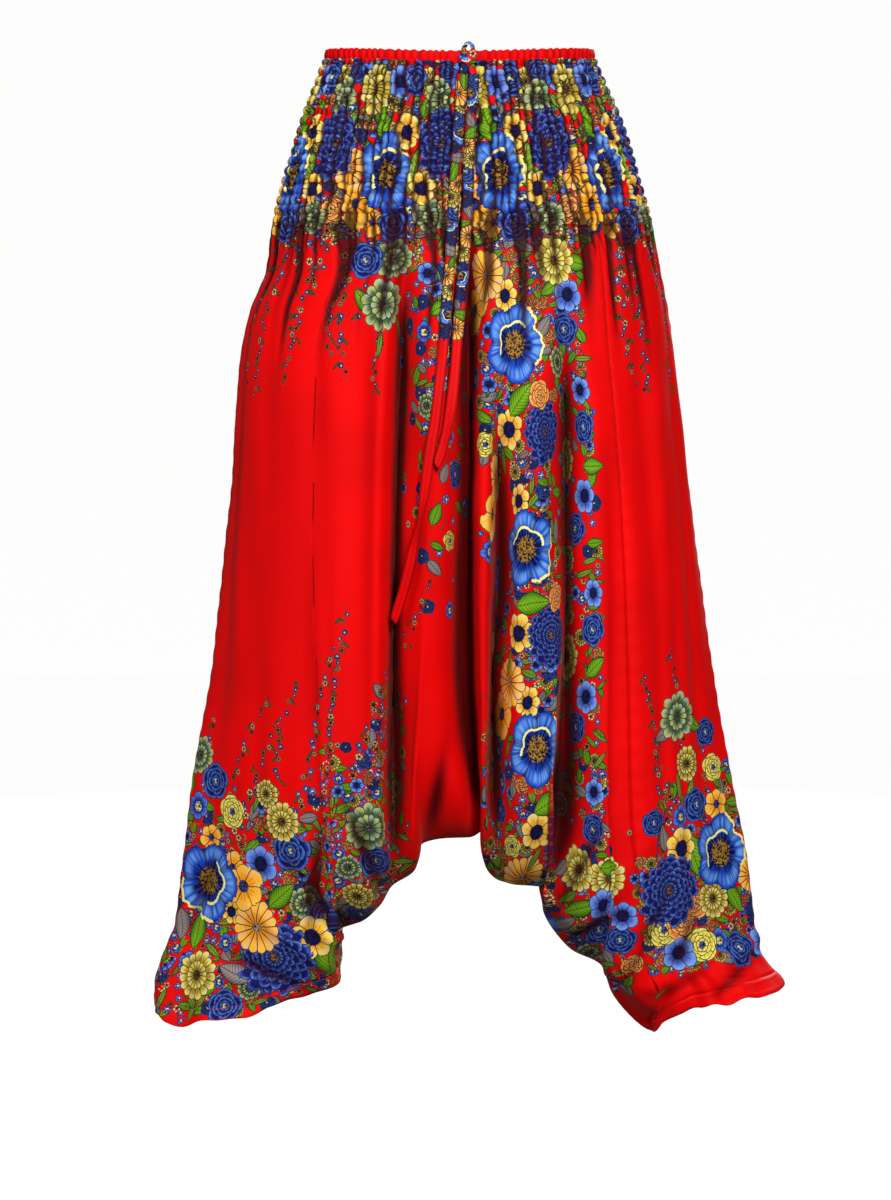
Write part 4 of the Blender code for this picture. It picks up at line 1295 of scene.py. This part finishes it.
for back in (False, True):
    for number in range(-1, YOKE_REPEATS + 1):
        for kind, share, drop, radius, degrees, narrow in YOKE_REPEAT:
            share = FIRST_REPEAT + (number + 0.5 * back) / YOKE_REPEATS + share
            lean = 12 * sin(number * 2.3 + radius)
            if -0.02 < share < 1.02:
                lay(back, kind, share, drop * MM / YOKE_FOOT - 1, radius * MM, degrees + lean, narrow)
    for kind, x, drop, radius, degrees in MIDDLE_PRINT:
        share, level, off = place_seen((x, -x)[back] * MM, drop * MM, back)
        lay(back, kind, share, level, radius * MM, degrees)
    for number in range(BAND_REPEATS):
        for kind, over, down, radius, degrees in BAND_PRINT:
            drop = BAND_REPEAT_FROM + number * BAND_REPEAT + down * MM
            edge = seam_share(level_at(LEFT_CORNER, drop))
            share = edge - (over + 3 * sin(number * 2.7 + over)) * MM / width_round(drop)
            if share < BAG_SHARES[1] + BAG_ROOM and drop > MIDDLE_PRINT_END:
                continue
            if drop < lower_edge(share, DROP) + radius * MM:
                level = level_at(share, drop)
                share = 1 - share if back else share
                lean = 25 * sin(number * 1.9 + down)
                lay(back, kind, share, level, radius * MM, degrees + lean, BAND_NARROW)


def turned_round(rows, sum_of_x, lift=0):
    """A leg's border turned round for the back: each x and its new x make that sum."""
    return tuple((kind, sum_of_x - x, drop - lift, radius, turn) for kind, x, drop, radius, turn in rows)


back_legs = turned_round(RIGHT_LEG_PRINT, 2 * RIGHT_LEG_MIDDLE)
back_legs += turned_round(RIGHT_LEG_PRINT, LEFT_LEG_OVER, LEFT_LEG_LIFT)
for back, rows in ((False, RIGHT_LEG_PRINT + LEFT_LEG_PRINT), (True, back_legs)):
    for kind, x, drop, radius, degrees in rows:
        share, level, off = place_seen(x * MM, drop * MM, back)
        if off < FARTHEST_PLACE:
            lay(back, kind, share, level, radius * MM, degrees)


def spray(back, share, top, bottom, grows_down, lean, seed):
    """A chain of small blossoms on a thin leaning stem, finer towards its tip."""
    count = int((bottom - top) / SPRAY_STEP)
    for step in range(count):
        drop = top + step * SPRAY_STEP if grows_down else bottom - step * SPRAY_STEP
        part = step / count
        stem = (bottom - top) * lean * part**1.3 + 5 * MM * sin(part * 5 + seed)
        round_here = float(width_round(drop))
        beside = stem + (3.4 - 1.6 * part) * (-1, 1, 0.2)[(step + int(seed * 3)) % 3] * MM
        here = share + beside / round_here
        kind = SPRAY_BLOSSOMS[(step * 3 + int(seed * 7)) % len(SPRAY_BLOSSOMS)]
        radius = 3.9 - 1.5 * part + 0.6 * sin(step * 1.7 + seed)
        if sin(step * 2.3 + seed * 5) > -0.75:
            lay(back, kind, here, level_at(here, drop), radius * MM, step * 40)
        if step % 2 == 0:
            middle = share + stem / round_here
            tilt = (lean * (1 + part) * 57 + 6 * sin(step + seed)) * (1 if grows_down else -1)
            lay(back, "lilac stalk", middle, level_at(middle, drop), 8 * MM, 90 + tilt)
        if step % 4 == 2:
            side = here + (4.5 if step % 8 == 2 else -4.5) * MM / round_here
            lay(back, "slim leaf", side, level_at(side, drop), 5.5 * MM, 50 + 80 * (step % 8 == 2))


for back in (False, True):
    plain = ((0.40, 0.78), (0.36, 0.60))[back]
    for number in range(SPRAYS_ABOVE):
        share = 0.025 + number * 0.0325 + 0.006 * sin(number * 2.9)
        long = abs(sin(number * 1.37 + 0.6 + back))
        if not plain[0] < share < plain[1]:
            lean = 0.12 * sin(number * 1.9)
            spray(back, share, 170 * MM, (215 + 115 * long) * MM, True, lean, number * 1.1)
    for number in range(SPRAYS_BELOW):
        share = 0.02 + number * 0.0445 + 0.008 * sin(number * 2.9)
        long = abs(sin(number * 1.77 + 0.6 + back))
        edge = float(lower_edge(share, DROP))
        if not (BAG_SHARES[0] - 0.05 < share < (0.79 if not back else 0.57)):
            lean = (0.1 + 0.32 * abs(sin(number * 2.1))) * (1 if share < 0.5 else -0.5)
            spray(back, share, edge - (245 + 105 * long) * MM, edge - 160 * MM, False, lean, number * 1.7)


def print_density(share, drop, back):
    """How likely a floret is at each place, from 0 to 1."""
    level = level_at(share, drop)
    up = lower_edge(share, DROP) - drop
    from_front = 1 - share if back else share
    from_seam = (seam_share(level) - from_front) * width_round(drop)
    seen = 1 - ease(drop, (166 + 6 * np.sin(share * 61)) * MM, (184 + 10 * np.sin(share * 61)) * MM)
    below = level > 0
    in_bag = (share > BAG_SHARES[0]) & (share < BAG_SHARES[1]) & below
    reach = (190 + 22 * np.sin(share * 53 + back)) * MM
    near_foot = 0.95 * (1 - ease(up, reach - 25 * MM, reach + 25 * MM)) * (~in_bag)
    seen = np.maximum(seen, np.where(below, near_foot, 0))
    beside_seam = (from_seam > SEAM_STRIP + 2 * MM) & (from_seam < BAND_WIDTH)
    seen = np.where(below & beside_seam & (from_front > BAG_SHARES[1]), 1, seen)
    in_middle = (from_front > MIDDLE_PRINT_FROM) & (from_front < BAG_SHARES[1])
    centre = below & in_middle & (drop < MIDDLE_PRINT_END)
    seen = np.where(centre, np.maximum(seen, 0.6 * (1 - ease(drop, 250 * MM, 540 * MM))), seen)
    if not back:
        seen = np.where((drop > PLAIN_SEAM_FROM) & (from_seam > 0) & (from_seam < SEAM_STRIP), 0, seen)
        seen = np.where((share > LEFT_CORNER) & (up < PLAIN_HEM), 0, seen)
    return seen


SLIM = [KIND[name] for name in ("green leaf", "grey leaf", "slim leaf", "lilac stalk", "stem")]
SLIM_TAKES, ROUND_TAKES = 0.3, 0.74  # the share of a motif's radius that florets keep clear of
YOKE_FLORETS_NARROW = 0.8
chance = np.random.default_rng(11)
for back in (False, True):
    kinds, columns_laid, levels_laid, radii = (np.array(v) for v in list(zip(*prints[back]))[:4])
    large = radii > 10 * MM
    laid = cloth(np.clip(columns_laid[large], 0, 1), levels_laid[large], back)[0]
    reach = radii[large] * np.where(np.isin(kinds[large], SLIM), SLIM_TAKES, ROUND_TAKES)
    for drop in np.arange(12 * MM, 930 * MM, FLORET_STEP):
        across_here = float(width_round(drop)) * (0.72 if drop < YOKE_FOOT else 1) + 0.12 * (drop < YOKE_FOOT)
        count = int(across_here / FLORET_STEP)
        share = (np.arange(count) + chance.uniform(0.1, 0.9, count)) / count
        at = drop + chance.uniform(-0.5, 0.5, count) * FLORET_STEP
        level = level_at(share, at)
        spots = cloth(share, level, back)[0]
        clear = (np.linalg.norm(laid - spots[:, None], axis=2) >= reach).all(1)
        drawn = chance.uniform(size=(count, 4))
        ends = [read_off(WALKED_ACROSS[back], share + half, level) for half in (-0.5 / count, 0.5 / count)]
        room = np.clip((ends[1] - ends[0]) / FLORET_STEP * 1.15, 0, 1)
        likely = print_density(share, at, back) * room**1.5
        keep = clear & (at < lower_edge(share, DROP) - 3 * MM) & (drawn[:, 0] < likely)
        for k in np.nonzero(keep)[0]:
            kind, least, most = FLORETS[int(drawn[k, 1] * len(FLORETS))]
            radius = (least + (most - least) * drawn[k, 2]) * MM
            narrow = YOKE_FLORETS_NARROW if drop < YOKE_FOOT else 1.0
            lay(back, kind, share[k], level[k], radius, 360 * drawn[k, 3], narrow)

# Painted shade: how dark the colour is painted deep in the folds and gathers, and the depths between which
# the painted shade grows.
FOLD_SHADE = 0.86
FOLD_SHADE_DEPTHS = (5 * MM, 28 * MM)
GATHER_SHADE = 0.9
GATHER_SHADE_DEPTHS = (0.2 * MM, 2.6 * MM)
MOTIF_REACH = 0.09  # how far past a piece's edge a motif's middle may lie, as a share of the face


def framed(back):
    """The motifs of a face with their places on the cloth, the top ones first."""
    kind, column, level, radius, degrees, narrow = (np.array(v, float) for v in zip(*prints[back]))
    column, level = np.clip(column, 0, 1), np.clip(level, -1, 1)
    middle = cloth(column, level, back)[0]
    share = share_at(column, level, back)
    drop = drop_at(share, level)
    turned = angle_at(share, drop, back)
    wide, deep = section(drop, LEFT) - section(drop, RIGHT), 2 * section(drop, BACK if back else FRONT)
    side = 1 if back else -1
    right = np.stack([wide * np.sin(turned), side * deep * np.cos(turned)], 1) * -side
    right /= np.linalg.norm(right, axis=1)[:, None]
    found = []
    for k in range(len(kind)):
        drift = 0.0
        for axis in (0, 1):
            away = read_off(PLACES[back][0][..., axis], column[k], PLACE_LEVELS) - middle[k, axis]
            drift = drift + away * right[k, axis]
        found.append({
            "kind": int(kind[k]),
            "middle": middle[k],
            "radius": radius[k],
            "angle": degrees[k] / 180 * pi,
            "column": column[k],
            "narrow": narrow[k],
            "drift": drift,
            "across_to": read_off(WALKED_ACROSS[back], column[k], PLACE_LEVELS),
        })
    return found


motifs_on = {back: framed(back) for back in (False, True)}


def cloth_piece(name, columns, levels, back, rise, creased, thickness=CLOTH):
    """A printed piece: a patch of the cloth with its small folds, and its part of the print.

    columns and levels are its points' places on the cloth, as arrays of rows and columns.
    rise gives how far each point stands out from the cloth with its deep folds, and creased the
    share of it that is sharp enough to lie in shade, where the colour is painted darker as painted
    shade; the deep folds are painted darker too.
    """
    if back:
        columns, levels = columns[:, ::-1], levels[:, ::-1]
    even, folded = cloth(columns, levels, back)
    share = share_at(columns, levels, back)
    drop = drop_at(share, levels)
    points = folded + edge_normals(folded) * rise(share, drop, back)[..., None]
    # painted shade: the colour is painted darker where a point lies sunk in a deep fold, and where it lies
    # below the crests of the gathers and creases
    sunk = np.abs(even[..., 1]) - np.abs(folded[..., 1])
    pressed = -creased(share, drop, back)
    fold_painted_shade = FOLD_SHADE * ease(sunk, *FOLD_SHADE_DEPTHS)
    gather_painted_shade = GATHER_SHADE * ease(pressed, *GATHER_SHADE_DEPTHS)
    hollow = 1 - (1 - fold_painted_shade) * (1 - gather_painted_shade)
    face_rows, face_columns = grid_faces(*points.shape[:2])
    corner_levels = levels[face_rows, face_columns]
    corner_heights = even[..., 2][face_rows, face_columns]
    across = read_off(WALKED_ACROSS[back], columns, levels)
    corner_across = (across + tucked(share, drop, back))[face_rows, face_columns]

    def corner_places(faces, motif):
        level = corner_levels[faces]
        over = corner_across[faces] - np.interp(level, PLACE_LEVELS, motif["across_to"])
        drift = np.interp(level, PLACE_LEVELS, motif["drift"])
        x = (over * (-1 if back else 1) + drift) / motif["narrow"]
        y = corner_heights[faces] - motif["middle"][2]
        c, s = cos(motif["angle"]), sin(motif["angle"])
        return np.stack([x * c + y * s, y * c - x * s], 2) / motif["radius"]

    low, high = columns.min() - MOTIF_REACH, columns.max() + MOTIF_REACH
    mine = [motif for motif in motifs_on[back] if low < motif["column"] < high]
    layers = lay_motifs(even[face_rows, face_columns].mean(1), corner_places, mine)
    flat = np.stack([across, read_off(WALKED_DOWN[back], columns, levels)], 2)
    return shell(name, points, edge_normals(points), thickness, flat, hollow, layers)


def folds_let_go(share, drop, back):
    """The yoke's gathers, running on below it as soft uneven folds."""
    rise = 0.0
    for number in range(LET_GO):
        middle = (number + 0.5 + 0.32 * sin(number * 2.4 + 1.7 * back)) / LET_GO
        long = (60 + 120 * abs(sin(number * 1.31 + back))) * MM
        deep = LET_GO_DEPTH * (1 + 0.5 * sin(number * 3.7 + back))
        half = LET_GO_WIDTH * (1 + 0.35 * cos(number * 1.9))
        away = (share - middle) * width_round(drop) + 3 * MM * np.sin(drop / (40 * MM) + number)
        starts = ease(drop, YOKE_FOOT - 30 * MM, YOKE_FOOT + 10 * MM)
        fades = 1 - ease(drop, YOKE_FOOT + 0.15 * long, YOKE_FOOT + long)
        rise = rise - deep * np.exp(-((away / half) ** 2)) * starts * fades
    return rise


def gather_turn(share, drop, back):
    """The gathers as waves: a valley wherever this passes a whole turn."""
    row = (drop - FIRST_THREAD) / THREAD_PITCH
    turn = share * GATHERS * tau + 1.6 * np.sin(share * 41 + back) + 1.1 * np.sin(share * 97)
    return turn + 1.0 * np.sin(row * 0.9 + share * 23) + 0.6 * np.sin(np.floor(row) * 2.4)


def gathers_held(drop):
    """How much of the gathers is left: all of them in the yoke, and fewer just below it."""
    return ease(drop, YOKE_FOOT + OPEN_FROM, YOKE_FOOT - HELD_TO)


def tucked(share, drop, back):
    """How far each gather draws the print aside, because its valley hides a part of it."""
    turns = gather_turn(share, drop, back) / tau
    uneven = 1 + 0.5 * np.sin(np.floor(turns) * 1.9)
    return -TUCK * uneven * (turns - np.floor(turns) - 0.5) * gathers_held(drop)


def gathers_rise(share, drop, back):
    """Puffs between the rows of thread, and the gathers that the threads hold, which fade below them."""
    row = (drop - FIRST_THREAD) / THREAD_PITCH
    puffed = np.abs(np.sin(pi * row)) ** 0.7
    turn = gather_turn(share, drop, back)
    gathers = 1.8 * (np.abs(np.sin(turn / 2)) - 0.64) + 0.3 * np.sin(turn * 1.62 + row * 0.7 + 2)
    threaded = ease(drop, YOKE_FOOT - 2 * MM, YOKE_FOOT - HELD_TO)
    fine = GATHER_HEIGHT * gathers * (0.45 + 0.55 * puffed) * gathers_held(drop)
    fine = fine + PUFF * (puffed - 0.5) * threaded
    return fine * np.minimum(ease(share, 0, SIDE_SEAM_ROOM), ease(share, 1, 1 - SIDE_SEAM_ROOM))


def yoke_rise(share, drop, back):
    """The gathers, with those that run on below the yoke."""
    return folds_let_go(share, drop, back) + gathers_rise(share, drop, back)


def gathers_creased(share, drop, back):
    """The part of them that lies in shade, below the crests."""
    # painted shade: the gathers are painted darker where they sink below this height, in the yoke and fading
    # out just below it
    shaded = GATHER_SHADOW * ease(drop, YOKE_FOOT + 30 * MM, YOKE_FOOT)
    return yoke_rise(share, drop, back) - shaded


shirred_cloth = printed_cloth("shirred cloth", roughness=0.64)
yoke_levels = np.linspace(-1 + (CASING_DEPTH - SEAM_GAP) / YOKE_FOOT, 0, YOKE_ROWS)
yoke_shares = np.linspace(EDGE_ROOM, 1 - EDGE_ROOM, YOKE_COLUMNS)
yoke_places = np.meshgrid(yoke_shares, yoke_levels)
for name, back in (("shirred_front", False), ("shirred_back", True)):
    yoke = cloth_piece(name, *yoke_places, back, yoke_rise, gathers_creased)
    yoke.data.materials.append(shirred_cloth)
    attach(yoke, "root")
    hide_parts("yoke_back" if back else "yoke_front")

# THE LEG PANELS
# Thin printed rayon that falls from the yoke to the ankles. The front has a wide piece and a
# narrow one, sewn together over the left leg, and the back has two with a seam in the middle.
# Between the legs they hang as one loose bag, so that their folds are long and uneven.
PANEL_ROWS = 186
COLUMN_STEP = 0.0033
# Long soft folds: where they are at the top and the foot as shares, where they begin and end,
# how deep and how wide they are. Millimetres.
LONG_FOLDS = {
    False: (
        # top    foot   from   to  deep  half width
        (0.060, 0.045,  235,  900,  2.0, 13),
        (0.105, 0.085,  300,  905,  1.4, 11),
        (0.150, 0.128,  215,  860,  2.2, 15),
        (0.200, 0.180,  260,  880,  2.2, 13),
        (0.245, 0.215,  225,  850,  3.0, 13),
        (0.290, 0.262,  290,  820,  1.6, 12),
        (0.335, 0.318,  215,  800,  3.0, 14),
        (0.425, 0.432,  260,  740,  4.4, 11),
        (0.462, 0.470,  330,  735,  3.4,  9),
        (0.500, 0.503,  230,  720,  5.0, 11),
        (0.588, 0.590,  240,  760,  3.4,  8),
        (0.618, 0.624,  300,  770,  3.8,  9),
        (0.652, 0.655,  220,  760,  3.0,  8),
        (0.722, 0.728,  260,  840,  3.8, 11),
        (0.755, 0.762,  340,  860,  2.6,  9),
        (0.835, 0.835,  230,  860,  3.4, 12),
        (0.880, 0.885,  300,  870,  2.6, 10),
        (0.925, 0.930,  240,  850,  3.0, 11),
    ),
    True: (
        (0.070, 0.060,  240,  880,  3.0, 13),
        (0.125, 0.110,  290,  890,  3.6, 12),
        (0.185, 0.165,  220,  860,  3.0, 12),
        (0.255, 0.235,  270,  840,  4.4, 12),
        (0.345, 0.330,  230,  800,  3.4, 11),
        (0.445, 0.440,  250,  740,  4.2, 11),
        (0.485, 0.478,  320,  730,  3.4, 10),
        (0.560, 0.566,  240,  770,  4.4, 11),
        (0.640, 0.652,  280,  800,  3.6, 12),
        (0.715, 0.722,  230,  840,  3.8, 12),
        (0.790, 0.800,  260,  870,  4.2, 13),
        (0.850, 0.858,  300,  880,  3.0, 11),
        (0.920, 0.925,  240,  870,  3.2, 12),
    ),
}
# Short creases near the feet and the crotch, seen from the front or back: their middle, their
# slant, half their length, half their width and their height. Millimetres and degrees.
CREASES = {
    False: (
        #  x   drop  slant  long wide  high
        (-150,  842,  -38,   52,   7,  3.4),
        (-132,  800,  -52,   60,   8, -3.6),
        (-182,  868,  -24,   58,   7, -3.0),
        (-105,  842,  -30,   36,   5,  2.8),
        (-215,  872,  -16,   50,   8,  2.6),
        (-252,  812,   74,   60,   9, -2.4),
        (-138,  778,   84,   62,   8, -3.6),
        (-150,  790,   86,   50,   6,  2.4),
        (-272,  862,   60,   36,   8,  2.8),
        ( 205,  870,   20,   48,   7,  2.8),
        ( 235,  862,   34,   50,   6, -3.0),
        ( 268,  852,   12,   44,   8,  2.6),
        ( 170,  842,   62,   52,   7, -3.4),
        ( 128,  800,   52,   55,   8,  3.4),
        ( 108,  765,   66,   60,   6, -3.4),
        ( 150,  862,   48,   40,   6,  3.0),
        ( 118,  828,   40,   44,   7, -3.8),
        (  92,  700,   86,   60,   8, -3.2),
        ( 214,  838,   70,   46,   7, -2.6),
        ( 262,  872,   40,   36,   6, -2.8),
        (  62,  742,   78,   52,   7,  3.0),
        ( -22,  700,   80,   50,   8, -3.4),
        (   2,  712,   96,   40,   7,  2.8),
        ( -90,  742,  112,   60,   8, -3.2),
    ),
    True: (
        (-150,  846,  -34,   50,   7,  3.2),
        (-200,  860,  -20,   56,   8, -3.0),
        (-110,  800,  -54,   60,   8, -3.4),
        (-258,  830,   70,   52,   9,  2.6),
        ( 205,  866,   26,   52,   7, -3.0),
        ( 250,  856,   18,   46,   8,  2.8),
        ( 160,  850,   56,   50,   7,  3.2),
        ( 120,  790,   60,   58,   8, -3.4),
        (   0,  690,   88,   56,   9, -3.6),
        ( -40,  712,   72,   44,   7,  3.0),
    ),
}
CREASE_DEPTH = 1.7
# how much of the short creases' depth counts toward the painted shade
CREASE_SHADE = 0.45
CORNER_STILL = 0.008  # the share beside an ankle corner where no small fold reaches
CORNER_STILL_UP_TO = (14 * MM, 45 * MM)  # above the lower edge, where folds begin and are whole
ANKLE_ROOM = 0.012  # beside an ankle corner, as a share of the face
HEM_FLUTE = 2.6 * MM
RIPPLE = 0.45 * MM
SEAM_GROOVE, SEAM_GROOVE_WIDTH = 1.1 * MM, 1.8 * MM
PUCKER, PUCKER_WIDTH, PUCKER_LENGTH = 0.4 * MM, 9 * MM, 3.1 * MM


def creases_rise(share, drop, back):
    """Short creases, each a ridge or a trough that is longer than it is wide."""
    x = x_at(share, level_at(share, drop), back)
    rise = 0.0
    for middle, down, slant, long, wide, high in CREASES[back]:
        over, under = x - middle * MM, -(drop - down * MM)
        c, s = cos(slant / 180 * pi), sin(slant / 180 * pi)
        along, off = over * c + under * s, under * c - over * s
        shape = np.exp(-((along / (long * MM)) ** 2) - (off / (wide * MM)) ** 2)
        rise = rise + CREASE_DEPTH * high * MM * shape
    return rise


def panel_creased(share, drop, back):
    """The same on the panels and hems, with the short creases."""
    # painted shade: a share of the short creases' depth adds to the gathers' painted shade
    return gathers_creased(share, drop, back) + CREASE_SHADE * creases_rise(share, drop, back)


def panel_rise(share, drop, back):
    """All the small folds of the panels and hems, which lie still where pieces have to meet."""
    soft = yoke_rise(share, drop, back)
    for top, foot, start, end, deep, half in LONG_FOLDS[back]:
        part = np.clip((drop - start * MM) / ((end - start) * MM), 0, 1)
        line = top + (foot - top) * part + 0.004 * np.sin(drop / (70 * MM) + top * 60)
        away = (share - line) * width_round(drop) / (half * MM)
        shape = np.exp(-(away**2)) - 0.45 * np.exp(-((away - 1.9) ** 2)) - 0.3 * np.exp(-((away + 1.9) ** 2))
        soft = soft - deep * MM * shape * ease(drop, start * MM, (start + 120) * MM) * (1 - 0.8 * part**3)
    soft = soft + creases_rise(share, drop, back)
    up = lower_edge(share, DROP) - drop
    flutes = np.sin(share * 74 + 2 * np.sin(share * 21 + back)) + 0.5 * np.sin(share * 131)
    soft = soft + HEM_FLUTE * flutes * (1 - ease(up, 0, 90 * MM))
    ripple = np.sin(share * 90 + drop / (31 * MM)) * np.sin(drop / (23 * MM) - share * 37)
    fine = RIPPLE * ripple * ease(drop, YOKE_FOOT, YOKE_FOOT + 40 * MM)
    closes = ease(up, 0, CORNER_STILL_UP_TO[0])
    at_ankle = (share < RIGHT_CORNER - ANKLE_ROOM) | (share > LEFT_CORNER + ANKLE_ROOM)
    held = np.where(at_ankle, 1, closes)
    for corner in (RIGHT_CORNER, LEFT_CORNER):  # the pieces that meet there have to stay together
        at_corner = np.exp(-(((share - corner) / CORNER_STILL) ** 2))
        held = held * (1 - at_corner * (1 - ease(up, *CORNER_STILL_UP_TO)))
    seams = [0, 1, BACK_SEAM] if back else [0, 1]
    beside = np.min([np.abs(share - s) for s in seams], axis=0) * width_round(drop)
    if not back:
        front_seam = seam_share(level_at(LEFT_CORNER, drop))
        beside = np.minimum(beside, np.abs(share - front_seam) * width_round(drop))
    begins = ease(drop, YOKE_FOOT, YOKE_FOOT + 6 * MM)
    groove = -SEAM_GROOVE * np.exp(-((beside / SEAM_GROOVE_WIDTH) ** 2))
    pucker = PUCKER * np.exp(-((beside / PUCKER_WIDTH) ** 2)) * np.sin(drop / PUCKER_LENGTH)
    return (soft + fine + (groove + pucker) * begins) * held


def hem_share(column):
    """The part of a column below the yoke that its ankle hem takes."""
    at_ankle = (column <= RIGHT_CORNER) | (column >= LEFT_CORNER)
    return np.where(at_ankle, HEM_DEPTH / (lower_edge(column, DROP) - YOKE_FOOT), 0)


def columns_between(first, last, room_at_first, room_at_last):
    """The columns of a piece, from seam to seam or, where it leaves room, from just inside them."""
    count = int((last - first) / COLUMN_STEP) + 1
    return np.linspace(first + EDGE_ROOM * room_at_first, last - EDGE_ROOM * room_at_last, count)


panel_cloth = printed_cloth("leg cloth")
for name, node, first, last, back, flat in (
    ("leg_front", "front_panel", 0, LEFT_CORNER, False, (0.52, 0.78)),
    ("leg_front_side", "front_side_panel", LEFT_CORNER, 1, False, (0.15, 0.74)),
    ("leg_back_right", "back_panel_right", 0, BACK_SEAM, True, (0.34, 0.76)),
    ("leg_back_left", "back_panel_left", BACK_SEAM, 1, True, (0.34, 0.76)),
):
    row = columns_between(first, last, first != LEFT_CORNER, True)
    for corner, beyond in ((RIGHT_CORNER, EDGE_ROOM), (LEFT_CORNER, -EDGE_ROOM)):
        if first < corner < last:  # the hem ends there, and the panel takes its place
            row = np.sort(np.append(row, (corner, corner + beyond)))
    columns, levels = np.meshgrid(row, np.linspace(0, 1, PANEL_ROWS))
    levels = levels * (1 - hem_share(row))
    panel = cloth_piece(name, columns, levels, back, panel_rise, panel_creased)
    panel.data.materials.append(panel_cloth)
    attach(panel, "root")
    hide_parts(node)

# THE ANKLE HEMS
# The panels' own lower edges, turned up and stitched all round each ankle opening, which stays
# open. They are as wide as a finger and a little stiffer than the cloth above.
HEM_ROWS = 6
HEM_CLOTH = 1.4 * MM
STITCH_UP = 0.86  # of the hem, where its row of stitches runs
STITCH_LENGTH, STITCH_WIDTH, STITCH_PROUD = 2.6 * MM, 0.5 * MM, 0.35 * MM
STITCH_STEP = 3.5 * MM
STITCH_END = 0.004  # of the face, before a hem's ends
THREAD = dyed(176, 6, 8)
THREAD_ROUGHNESS = 0.6
HEM_OVERLAP = 1.05  # how far up the hem's cloth reaches, for each metre of its depth
thread = plain_finish("sewing thread", THREAD, THREAD_ROUGHNESS)[0]


def stitched(name, first, last, back):
    """A row of straight stitches on the outside of a hem, sunk a little into the cloth."""
    column = np.linspace(first + STITCH_END, last - STITCH_END, 400)[None]
    level = 1 - STITCH_UP * hem_share(column)
    folded = cloth(column, level, back)[1]
    share = share_at(column, level, back)
    outward = np.array([0, 1 if back else -1, 0])
    rise = panel_rise(share, drop_at(share, level), back)[0] + HEM_CLOTH / 2
    line = folded[0] + outward * rise[:, None]
    walk = np.concatenate([[0], np.cumsum(np.linalg.norm(np.diff(line, axis=0), axis=1))])
    starts = np.arange(0, walk[-1] - STITCH_LENGTH, STITCH_STEP)
    points = []
    for more in (0, STITCH_LENGTH):
        end = np.stack([np.interp(starts + more, walk, line[:, k]) for k in range(3)], 1)
        for up, proud in ((-1, -1), (1, -1), (1, 1), (-1, 1)):
            points.append(end + np.array([0, 0, up * STITCH_WIDTH / 2]) + outward * proud * STITCH_PROUD)
    points = np.stack(points, 1).reshape(-1, 3)
    box = np.array([(0, 1, 2, 3), (7, 6, 5, 4), (0, 4, 5, 1), (1, 5, 6, 2), (2, 6, 7, 3), (3, 7, 4, 0)])
    if not back:
        box = box[:, ::-1]
    faces = (box[None] + 8 * np.arange(len(starts))[:, None, None]).reshape(-1, 4)
    mesh = bpy.data.meshes.new(name)
    mesh.from_pydata(points.tolist(), [], faces.tolist())
    mesh.materials.append(thread)
    return put_in_scene(name, mesh)


hem_cloth = printed_cloth("hem cloth", roughness=0.64)
for name, node, first, last, flat in (
    ("hem_right", "ankle_hem_right", 0, RIGHT_CORNER, (0.46, 0.014)),
    ("hem_left", "ankle_hem_left", LEFT_CORNER, 1, (0.40, 0.014)),
):
    halves = []
    for back in (False, True):
        row = columns_between(first, last, first == 0, last == 1)
        columns, up = np.meshgrid(row, np.linspace(HEM_OVERLAP, 0, HEM_ROWS))
        levels = 1 - up * hem_share(row)
        half = cloth_piece(f"{name}_{back}", columns, levels, back, panel_rise, panel_creased, HEM_CLOTH)
        half.data.materials.append(hem_cloth)
        halves += [half, stitched(f"{name}_{back}_stitches", first, last, back)]
    with bpy.context.temp_override(active_object=halves[0], selected_editable_objects=halves):
        bpy.ops.object.join()
    halves[0].name = name
    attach(halves[0], "root")
    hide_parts(node)
